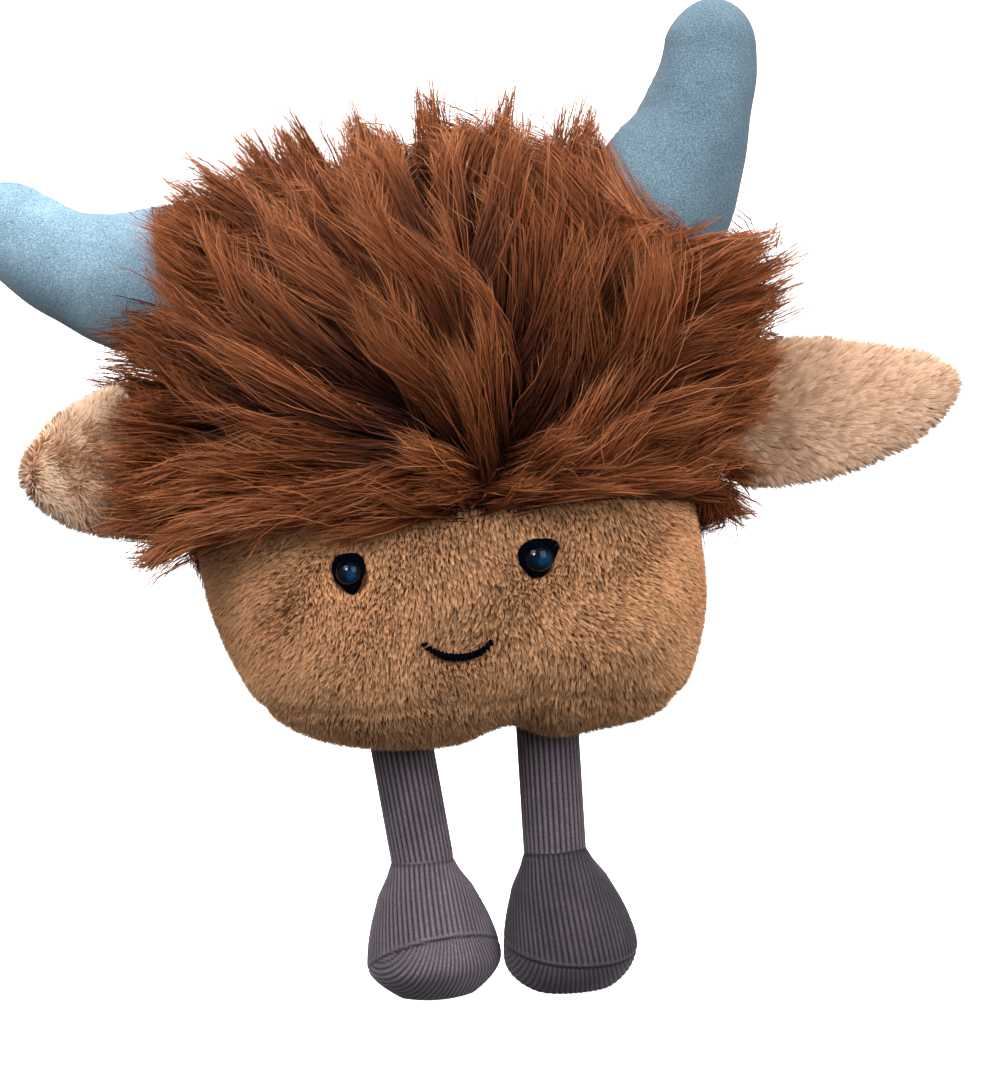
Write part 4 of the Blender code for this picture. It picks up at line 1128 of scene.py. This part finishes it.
def ribbon_piece(name, chosen):
    """One piece of fur: the chosen fibres as ribbons, with their map of length and tone."""
    number = len(chosen)
    start = np.arange(number)[:, None, None] * per
    quads = (start + quad_pattern[None]).reshape(-1, 4)
    tris = start[:, 0] + tri_pattern
    own_tone = tone[chosen]
    quad_uv = np.stack([np.broadcast_to(quad_u[None], (number, *quad_u.shape)),
                        np.broadcast_to(own_tone[:, None, None], (number, *quad_u.shape))], axis=-1)
    tri_uv = np.stack([np.broadcast_to(tri_u[None], (number, 3)),
                       np.broadcast_to(own_tone[:, None], (number, 3))], axis=-1)
    uv = np.clip(np.concatenate([quad_uv.reshape(-1, 2), tri_uv.reshape(-1, 2)]), 0.01, 0.99)
    return add_mesh(name, points[chosen].reshape(-1, 3), quads, tris, FUR_FINISH, uv)


# %% Six pieces of fur
# A fibre is in the back, top or front piece of its side by where it is rooted.
root_x, root_y, root_z = wisp_roots[of_wisp].T
zones = np.where(root_y > 0.014, 2, np.where(root_z > 0.190, 1, 0))
for sign, side_name in ((1, "left"), (-1, "right")):
    for zone, zone_name in enumerate(("front", "top", "back")):
        chosen = np.flatnonzero((zones == zone) & (np.sign(root_x - BODY_X + 1e-9) == sign))
        made = ribbon_piece(f"fur_{zone_name}_{side_name}", chosen)
        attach(made, "torso")
        if zone == 0:
            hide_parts("fur_cap_" + side_name)

# %% [markdown]
# Eyes and mouth
#
# The beads are turned domes of dark navy with a glossy skin. Round each of them short satin
# stitches reach from the bead to a heart-shaped outline, and the smile is a row of slanted
# stitches. A stitch is a small round-ended tube of thread.


# %% Beads
def face_at(x, z):
    """The face skin's point and normal nearest to a place on the front."""
    front = BODY_GRID[..., 1] < 0
    gap = np.where(front, np.hypot(BODY_GRID[..., 0] - x, BODY_GRID[..., 2] - z), 9)
    row, col = np.unravel_index(gap.argmin(), gap.shape)
    normal = BODY_NORMALS[row, col]
    point = BODY_GRID[row, col]
    fall = ((x - point[0]) * normal[0] + (z - point[2]) * normal[2]) / normal[1]
    return np.array([x, point[1] - fall, z]), normal


NAVY, navy_shader = plain_finish("navy_bead", 0.05, 0.15)
glow = node(NAVY, "ShaderNodeAttribute", attribute_name="glow").outputs["Fac"]
# Painted light: the colour turns from near black to blue where the glow attribute is high.
painted_glow = ramp(NAVY, glow, [
    (0.0, (0.0006, 0.0012, 0.003)), (0.5, (0.0008, 0.008, 0.020)), (1.0, (0.003, 0.050, 0.120))])
clouds = ramp(NAVY, noise(NAVY, 420, 1), [(0.35, (0.5, 0.5, 0.5)), (0.65, (1.3, 1.3, 1.3))])
coloured(NAVY, navy_shader, times(NAVY, painted_glow, clouds))
THREAD, thread_shader = plain_finish("navy_thread", 0.7, 0.0)
twist = node(THREAD, "ShaderNodeTexWave", {
    "Vector": node(THREAD, "ShaderNodeTexCoord").outputs["Object"],
    "Scale": 900.0, "Distortion": 2.0})
coloured(THREAD, thread_shader, ramp(THREAD, twist.outputs["Fac"], [
    (0.2, (0.0006, 0.0008, 0.0015)), (0.9, (0.0025, 0.0035, 0.0065))]))


def frame_of(normal):
    """Two directions that lie in the skin, across and up, for a normal."""
    across = unit(np.cross((0, 0, 1.0), -np.asarray(normal)) * -1)
    up = np.cross(normal, across)
    if up[2] < 0:
        across, up = -across, -up
    return across, up


def bead(name, centre, normal, radius, height):
    """A turned dome: radius times sin, height times cos, closed by a shallow underside.

    The attribute glow is a bell round one spot, a painted glow where light would shine out of the
    bead's depth.
    """
    across, up = frame_of(normal)
    turns = np.linspace(0, 2 * math.pi, 48, endpoint=False)
    slope = np.linspace(0, math.pi, 34)[1:-1]
    out = np.sin(slope) * radius
    rise = np.where(slope < math.pi / 2, np.cos(slope) * height, np.cos(slope) * height * 0.35)
    grid = (centre + out[:, None, None] * (np.cos(turns)[None, :, None] * across
            + np.sin(turns)[None, :, None] * up) + rise[:, None, None] * normal)
    top, bottom = centre + normal * height, centre - normal * height * 0.35
    made = add_mesh(name, *closed_grid(grid, top, bottom), NAVY)
    every = np.concatenate([grid.reshape(-1, 3), [top, bottom]])
    spot = centre + across * radius * 0.30 - up * radius * 0.22 + normal * height * 0.85
    add_values(made, "glow", bell(np.linalg.norm(every - spot, axis=1), radius * 0.62))
    return made


def stitches(name, starts, ends, normals, radius, material):
    """Round-ended threads from starts to ends, arched a little off the cloth.

    Each is 10 rings of 8 points round a line that rises by the sine of its share of a half turn.
    """
    count = len(starts)
    share = np.linspace(0, 1, 10)
    full = np.sqrt(np.clip(1 - (2 * share - 1) ** 6, 0.02, 1))
    turns = np.linspace(0, 2 * math.pi, 8, endpoint=False)
    run = unit(ends - starts)
    side = unit(np.cross(run, normals))
    arch = np.sin(share * math.pi)[None, :, None] * normals[:, None] * radius * 0.7
    line = starts[:, None] + (ends - starts)[:, None] * share[None, :, None] + arch
    ring = (np.cos(turns)[None, None, :, None] * side[:, None, None]
            + np.sin(turns)[None, None, :, None] * normals[:, None, None])
    points = line[:, :, None] + ring * (full * radius)[None, :, None, None]
    cap = run * radius * 0.3
    sets = [closed_grid(points[i], line[i, 0] - cap[i], line[i, -1] + cap[i]) for i in range(count)]
    every = np.concatenate([one[0] for one in sets])
    shift = len(sets[0][0])
    quads = np.concatenate([one[1] + i * shift for i, one in enumerate(sets)])
    tris = np.concatenate([one[2] + i * shift for i, one in enumerate(sets)])
    return add_mesh(name, every, quads, tris, material)


# %% Eyes
# The outlines of the stitched surrounds, in millimetres from each eye's middle.
SURROUNDS = {
    "right": ((-3.3, 4.4), (0.0, 5.0), (3.6, 4.3), (4.3, 1.0),
              (3.3, -2.3), (0.8, -6.2), (-2.0, -3.9), (-4.3, -0.3)),
    "left": ((-2.3, 4.7), (1.6, 4.9), (5.9, 3.7), (5.0, 0.6),
             (3.4, -1.8), (-1.3, -5.4), (-4.2, -2.5), (-5.5, 1.8)),
}
EYE_STITCHES = 60
BEAD_HEIGHT, BEAD_LIFT = 0.0034, 0.0022
for side, (eye_x, eye_z), bead_size in (("right", EYES[0], 0.0037), ("left", EYES[1], 0.0041)):
    place, normal = face_at(eye_x, eye_z)
    across, up = frame_of(normal)
    made = bead(side + "_eye", place + normal * BEAD_LIFT, normal, bead_size, BEAD_HEIGHT)
    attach(made, "torso")
    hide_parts(side + "_eye_bead")
    corners = np.array(SURROUNDS[side]) * MM
    bearing = np.arctan2(corners[:, 0], corners[:, 1]) % (2 * math.pi)
    order = np.argsort(bearing)
    angle = np.linspace(0, 2 * math.pi, EYE_STITCHES, endpoint=False)
    corner_reach = np.hypot(*corners.T)[order]
    reach = np.interp(angle, bearing[order], corner_reach, period=2 * math.pi)
    reach = (reach + np.roll(reach, 1) + np.roll(reach, -1)) / 3
    x, y = np.sin(angle) * reach, np.cos(angle) * reach
    outer = place + x[:, None] * across + y[:, None] * up + normal * BEAD_LIFT
    inner = place + (bead_size - 0.0006) * (
        np.sin(angle)[:, None] * across + np.cos(angle)[:, None] * up) + normal * 0.0032
    made = stitches(side + "_eye_thread", inner, outer, np.repeat(normal[None], EYE_STITCHES, 0),
                    0.42 * MM, THREAD)
    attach(made, "torso")
    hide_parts(side + "_eye_stitching")

# %% Smile
SMILE_STITCHES = 19
across_at = np.linspace(-1, 1, SMILE_STITCHES)
centre_x = SMILE_X + across_at * SMILE_HALF
# An arc of an ellipse, a little lower at the toy's left.
arc = (1 - np.sqrt(1 - 0.6 * across_at ** 2)) / (1 - math.sqrt(0.4))
centre_z = SMILE_Z + SMILE_RISE * arc - 0.0005 * across_at
line = [face_at(x, z) for x, z in zip(centre_x, centre_z)]
places = np.array([p + n * 0.0027 for p, n in line])
face_normals = np.array([n for _, n in line])
run = unit(np.gradient(places, axis=0))
over = unit(np.cross(face_normals, run))
half = (1.05 * MM * (1 - 0.28 * np.abs(across_at) ** 3))[:, None]
slanted = over * half + run * 0.5 * MM
made = stitches("smile_thread", places - slanted, places + slanted, face_normals, 0.56 * MM, THREAD)
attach(made, "torso")
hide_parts("mouth_stitching")

# %% [markdown]
# Corduroy legs and feet
#
# Corduroy has raised ribs, here one every 1.6 mm. On the leg they run straight down, on the foot
# they spread over the bell, and on the sole panel they run another way. The ribs are real relief:
# the ring grids have enough columns to raise each rib, and the finish paints shade into the grooves
# by an attribute that holds the same wave. A groove with a stitched ridge marks where two panels
# meet, and it is painted dark too.

# %% Corduroy finish
def cord_finish(name, gain):
    """Corduroy: light ribs and painted shade in the grooves by the attribute rib, with fuzz and slow
    wear.
    """
    made, shader = plain_finish(name, 0.9, 0.1, 0.2, (0.9, 0.85, 1.0))
    rib = node(made, "ShaderNodeAttribute", attribute_name="rib").outputs["Fac"]
    shades = ((0.0, (0.016, 0.012, 0.016)), (0.45, (0.080, 0.064, 0.077)),
              (1.0, (0.190, 0.160, 0.184)))
    rib_colour_and_groove_shade = ramp(made, rib, [(at, tuple(c * gain for c in shade)) for at, shade in shades])
    fuzz = noise(made, 2600, 2, 0.6)
    specks = ramp(made, fuzz, [(0.30, (0.66, 0.66, 0.68)), (0.72, (1.40, 1.38, 1.37))])
    wear = ramp(made, noise(made, 90, 2), [(0.35, (0.84, 0.84, 0.86)), (0.7, (1.16, 1.14, 1.12))])
    coloured(made, shader, times(made, times(made, rib_colour_and_groove_shade, specks), wear))
    bumped(made, shader, fuzz, 0.35 * MM, 0.5)
    return made


CORD_LEG = cord_finish("leg_corduroy", 0.90)
# Painted shade: the left foot's corduroy is a darker copy of the same cloth, under half the right
# foot's brightness.
CORD_FEET = {
    "left": cord_finish("left_foot_corduroy_painted_shade", 0.43),
    "right": cord_finish("right_foot_corduroy", 0.92),
}

# %% Ribs
RIB = 1.6 * MM


def rib_wave(phase):
    """A round-topped rib with a narrow groove: the root of a raised cosine, from 0 to 1."""
    return np.sqrt(np.clip(0.5 + 0.5 * np.cos(2 * math.pi * phase), 0, 1))


def ring_arc(grid, front):
    """Length round each ring from its front column, and the ring's whole length."""
    step = np.linalg.norm(np.roll(grid, -1, axis=1) - grid, axis=-1)
    arc = np.cumsum(step, axis=1) - step
    return arc - arc[:, front:front + 1], step.sum(axis=1, keepdims=True)


def add_ribs(name, grid, wave, height, poles, finish):
    """The grid raised along its normals by the wave times height, with the wave kept as rib.

    A wave of 0.75 leaves the cloth where it is, so the ribs keep the form's width on the whole.
    """
    normals = grid_normals(grid)
    raised = grid + normals * ((wave - 0.75) * height)[..., None]
    made = add_mesh(name, *closed_grid(raised, *poles), finish)
    add_values(made, "rib", np.concatenate([wave.ravel(), [0.5, 0.5]]))
    return made


# %% Legs
LEG_WIDE = 0.0176
LEG_SKIN = LEG_WIDE * 0.985
LEG_RIBS = 34


def make_leg(side, hip, ankle):
    """A straight tube with rounded ends, from over the hip, where it is sewn flat, to the foot."""
    down = unit(ankle - hip)
    top, foot_end = hip - down * (LEG_WIDE / 2 + 0.0030), ankle + down * LEG_WIDE / 2
    length = np.linalg.norm(foot_end - top)
    shares = (1 - np.cos(np.linspace(0, math.pi, 74)[1:-1])) / 2
    turns = np.linspace(0, 2 * math.pi, 272, endpoint=False)
    wide = np.full(len(shares), LEG_SKIN)
    cap = LEG_WIDE / 2 / length
    grid = limb(lambda s: top + (foot_end - top) * np.asarray(s)[..., None], shares, wide, wide,
                (0, -1, 0), (cap, cap, 2.0), turns, flat_root=True)
    wave = np.broadcast_to(rib_wave(turns / (2 * math.pi) * LEG_RIBS)[None, :], grid.shape[:2])
    leg = add_ribs(side + "_leg", grid, wave, 0.42 * MM, (top, foot_end), CORD_LEG)
    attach(leg, side + "_leg")
    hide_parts(side + "_leg_tube", side + "_leg_stuffing")


# %% Form of the feet
FOOT_WIDE, FOOT_DEEP = 0.0378, 0.0440
FOOT_STATIONS = (0.0, 0.06, 0.24, 0.48, 0.70, 0.86, 1.0)
FOOT_WIDTHS = (0.49, 0.49, 0.71, 0.91, 1.00, 0.98, 0.94)
FOOT_TURNS = np.linspace(0, 2 * math.pi, 400, endpoint=False)
FOOT_FRONT = 100
FOOT_CAP, FOOT_CAP_POWER = 0.36, 2.4
SOLE_Y, SOLE_CLEAR = -0.0030, 0.00035
# The rings are evenly spaced down the bell, and follow the sine of an angle over the round sole.
slope = np.linspace(0, math.pi / 2, 96)[1:-1]
FOOT_SHARES = np.concatenate([
    np.linspace(0.004, 1 - FOOT_CAP, 44),
    1 - FOOT_CAP + FOOT_CAP * np.sin(slope) ** (2 / FOOT_CAP_POWER)])


def foot_grid(ankle, sole_x, rim):
    """A bell with a crowned sole: wide by the table, over a spine that eases from ankle to toe.

    The sole is cut flat where it stands, and its rim rises by the square of the way out to it.
    """
    toe = np.array([sole_x, SOLE_Y, -0.0015])

    def foot_spine(share):
        """Sideways by an eased share of the way from ankle to toe, and down by the share itself."""
        share = np.asarray(share, float)[..., None]
        eased = share * share * (3 - 2 * share)
        flat = ankle + (toe - ankle) * eased
        fall = ankle[2] + (toe[2] - ankle[2]) * share
        return np.concatenate([flat[..., :2], fall], axis=-1)

    width = table_curve(FOOT_STATIONS, FOOT_WIDTHS, FOOT_SHARES)
    deep = np.where(FOOT_SHARES < 0.06, width * FOOT_WIDE, width * FOOT_DEEP)
    grid = limb(foot_spine, FOOT_SHARES, width * FOOT_WIDE, deep, (0, -1, 0),
                (0.03, FOOT_CAP, FOOT_CAP_POWER), FOOT_TURNS)
    grid[..., 2] = np.maximum(grid[..., 2], SOLE_CLEAR)
    from_middle = np.hypot(grid[..., 0] - sole_x, grid[..., 1] - SOLE_Y) / 0.020
    grid[..., 2] += rim * MM * from_middle ** 2 * np.clip(1 - grid[..., 2] / 0.015, 0, 1) ** 2
    return grid, foot_spine(0.0)


# %% Ribs of the feet
def upper_ribs(grid):
    """Ribs that run down the bell: counted by the length round each ring, from its front or back."""
    arc, around = ring_arc(grid, FOOT_FRONT)
    arc = (arc + around / 2) % around - around / 2
    behind = np.abs(arc) > around / 4
    arc = np.where(behind, (around / 2 - np.abs(arc)) * np.sign(arc), arc)
    spacing = RIB * (0.90 + 0.22 * FOOT_SHARES)[:, None]
    return rib_wave(arc / spacing)


def sole_ribs(grid, hub, turn):
    """Straight ribs over the sole, in a direction given by turn.

    A place on the cloth is its distance from the hub along the form, at its own angle.
    """
    hub_row = np.broadcast_to(hub, (1, *grid.shape[1:]))
    step = np.linalg.norm(np.diff(grid, axis=0, append=hub_row), axis=-1)
    reach = np.cumsum(step[::-1], axis=0)[::-1]
    ahead = -reach * np.cos(FOOT_TURNS)[None, :]
    aside = reach * np.sin(FOOT_TURNS)[None, :]
    return rib_wave((ahead * math.cos(turn) + aside * math.sin(turn)) / RIB)


def make_foot(side, ankle, sole_x, sole_turn, sole_seam, rim):
    """The bell and its sole in one mesh, with their ribs, the seam's groove and its stitched lip."""
    grid, neck = foot_grid(ankle, sole_x, rim)
    hub = np.array([sole_x, SOLE_Y, 0.0003])
    high, slant, slope = sole_seam
    over_plane = grid[..., 2] - high - (grid[..., 0] - sole_x) * slant - grid[..., 1] * slope
    above = over_plane / math.hypot(1, slant, slope)
    wave = np.where(above > 0, upper_ribs(grid), sole_ribs(grid, hub, sole_turn))
    # The seam's groove and the ankle's crease are low in the wave: the cloth dips there and the
    # finish paints shade into them.
    lip = bell(above - 0.85 * MM, 0.40 * MM)
    wave = (wave * (1 - lip) + 0.95 * lip) * (1 - bell(above, 0.38 * MM))
    ankle_line = bell(grid[..., 2] - 0.0385, 0.0006)
    wave = wave * (1 - 0.45 * ankle_line)
    # The sole's cloth is stretched over its edge, so its ribs stand less high.
    relief = (0.22 + 0.23 * np.clip(0.5 + above / (1.2 * MM), 0, 1)) * MM
    foot = add_ribs(side + "_foot", grid, wave, relief, (neck, hub), CORD_FEET[side])
    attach(foot, side + "_foot")
    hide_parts(side + "_foot_upper", side + "_foot_stuffing", side + "_sole")


# %% Both sides
# sole_seam is a slanted plane: its height under the toe, and how fast it rises along X and Y.
make_leg("left", np.array([0.0140, 0.0, 0.063458]), np.array([0.0136, 0.0, 0.0400]))
make_foot("left", np.array([0.0136, 0.0, 0.0400]), 0.0163, sole_turn=0.12,
          sole_seam=(0.0133, -0.144, 0.187), rim=0.6)
make_leg("right", np.array([-0.0259, 0.0, 0.061615]), np.array([-0.0237, 0.0, 0.0400]))
make_foot("right", np.array([-0.0237, 0.0, 0.0400]), -0.0220, sole_turn=0.55,
          sole_seam=(0.0114, 0.152, -0.341), rim=5.4)

# %% [markdown]
# What stays from the CAD
#
# The lock washers behind the eyes are inside the filling, and their plain turned shape is right,
# so they keep it and only take a milky plastic.

# %% Washers
WASHER, washer_shader = plain_finish("washer_plastic", 0.45, 0.4)
coloured(WASHER, washer_shader, ramp(WASHER, noise(WASHER, 700, 2), [
    (0.3, (0.66, 0.65, 0.62)), (0.7, (0.80, 0.79, 0.76))]))
for side in ("left", "right"):
    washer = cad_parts[side + "_eye_washer"]
    for place in washer.material_slots:
        place.material = WASHER

# %% [markdown]
# Floor and lights
#
# The sweep is one sheet: flat under the toy, then curved up behind it. It and the world are
# nearly white, so that the toy stands on its own as in the photograph.


# %% Sweep
def sweep():
    """A flat floor that turns up into a wall over a quarter circle of one metre."""
    turn = np.linspace(0, math.pi / 2, 24)
    bend = np.stack([1.2 + np.sin(turn), 1 - np.cos(turn)], axis=-1)
    profile = np.concatenate([[[-1.6, 0.0]], [[0.6, 0.0]], bend, [[2.2, 3.0]]])
    across = np.array([-3.0, 3.0])
    points = np.stack(np.broadcast_arrays(
        across[None, :], profile[:, :1], profile[:, 1:2]), axis=-1).reshape(-1, 3)
    rows = len(profile)
    first = np.arange(rows - 1)[:, None] * 2
    return points, first + (0, 1, 3, 2), np.zeros((0, 3))


# The sweep glows, so that no shadow shows on it, as in the photograph. It lights nothing else.
WHITE, white_shader = plain_finish("white_sweep", 0.9, 0.0)
white_shader.inputs["Base Color"].default_value = (0.94, 0.94, 0.94, 1)
white_shader.inputs["Emission Color"].default_value = (1, 1, 1, 1)
white_shader.inputs["Emission Strength"].default_value = 1.5
floor = add_mesh("sweep", *sweep(), WHITE)
floor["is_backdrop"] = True
floor.visible_diffuse = False
floor.visible_glossy = False


def soft_box(name, place, aim, size, power):
    """A large soft light that looks at a point."""
    light = bpy.data.lights.new(name, "AREA")
    light.energy = power
    light.size = size
    made = add_object(name, light)
    place, aim = np.array(place, float), np.array(aim, float)
    back = unit(place - aim)
    right = unit(np.cross((0, 0, 1), back))
    stand(made, place, right, np.cross(back, right), back)
    return made


# %% Lights
soft_box("key_light", (-0.55, -1.0, 0.95), (0, 0, 0.13), 0.7, 14.2)
soft_box("fill_light", (0.85, -1.0, 0.55), (0, 0, 0.12), 0.9, 13.4)
soft_box("top_light", (0.1, 0.1, 1.1), (0, 0, 0.15), 0.8, 7.0)
# The catch light is there for the glint on the beads, so it lights no dull cloth.
catch = soft_box("catch_light", (-0.30, -0.85, 0.50), (0, 0, 0.12), 0.20, 8.0)
catch.visible_diffuse = False

# %% World
world = bpy.data.worlds.new("studio")
bpy.context.scene.world = world
world.use_nodes = True
sky = world.node_tree.nodes["Background"]
sky.inputs["Color"].default_value = (1, 1, 1, 1)
sky_way = node(world, "ShaderNodeTexCoord").outputs["Generated"]
sky_height = node(world, "ShaderNodeSeparateXYZ", {"Vector": sky_way}).outputs["Z"]
sky_strength = node(world, "ShaderNodeMapRange", {
    "Value": sky_height, "From Min": -0.6, "From Max": 0.6, "To Min": 0.16, "To Max": 0.62})
world.node_tree.links.new(sky_strength.outputs["Result"], sky.inputs["Strength"])
print("stage ready")

# %% Sizes and finish
bpy.context.view_layer.update()
SEEN_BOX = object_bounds()
sizes = {"cad": [list(corner) for corner in CAD_BOX], "visual": [list(corner) for corner in SEEN_BOX]}
for name, (low, high) in sizes.items():
    print(name, [round((b - a) * 1000, 1) for a, b in zip(low, high)], "mm")
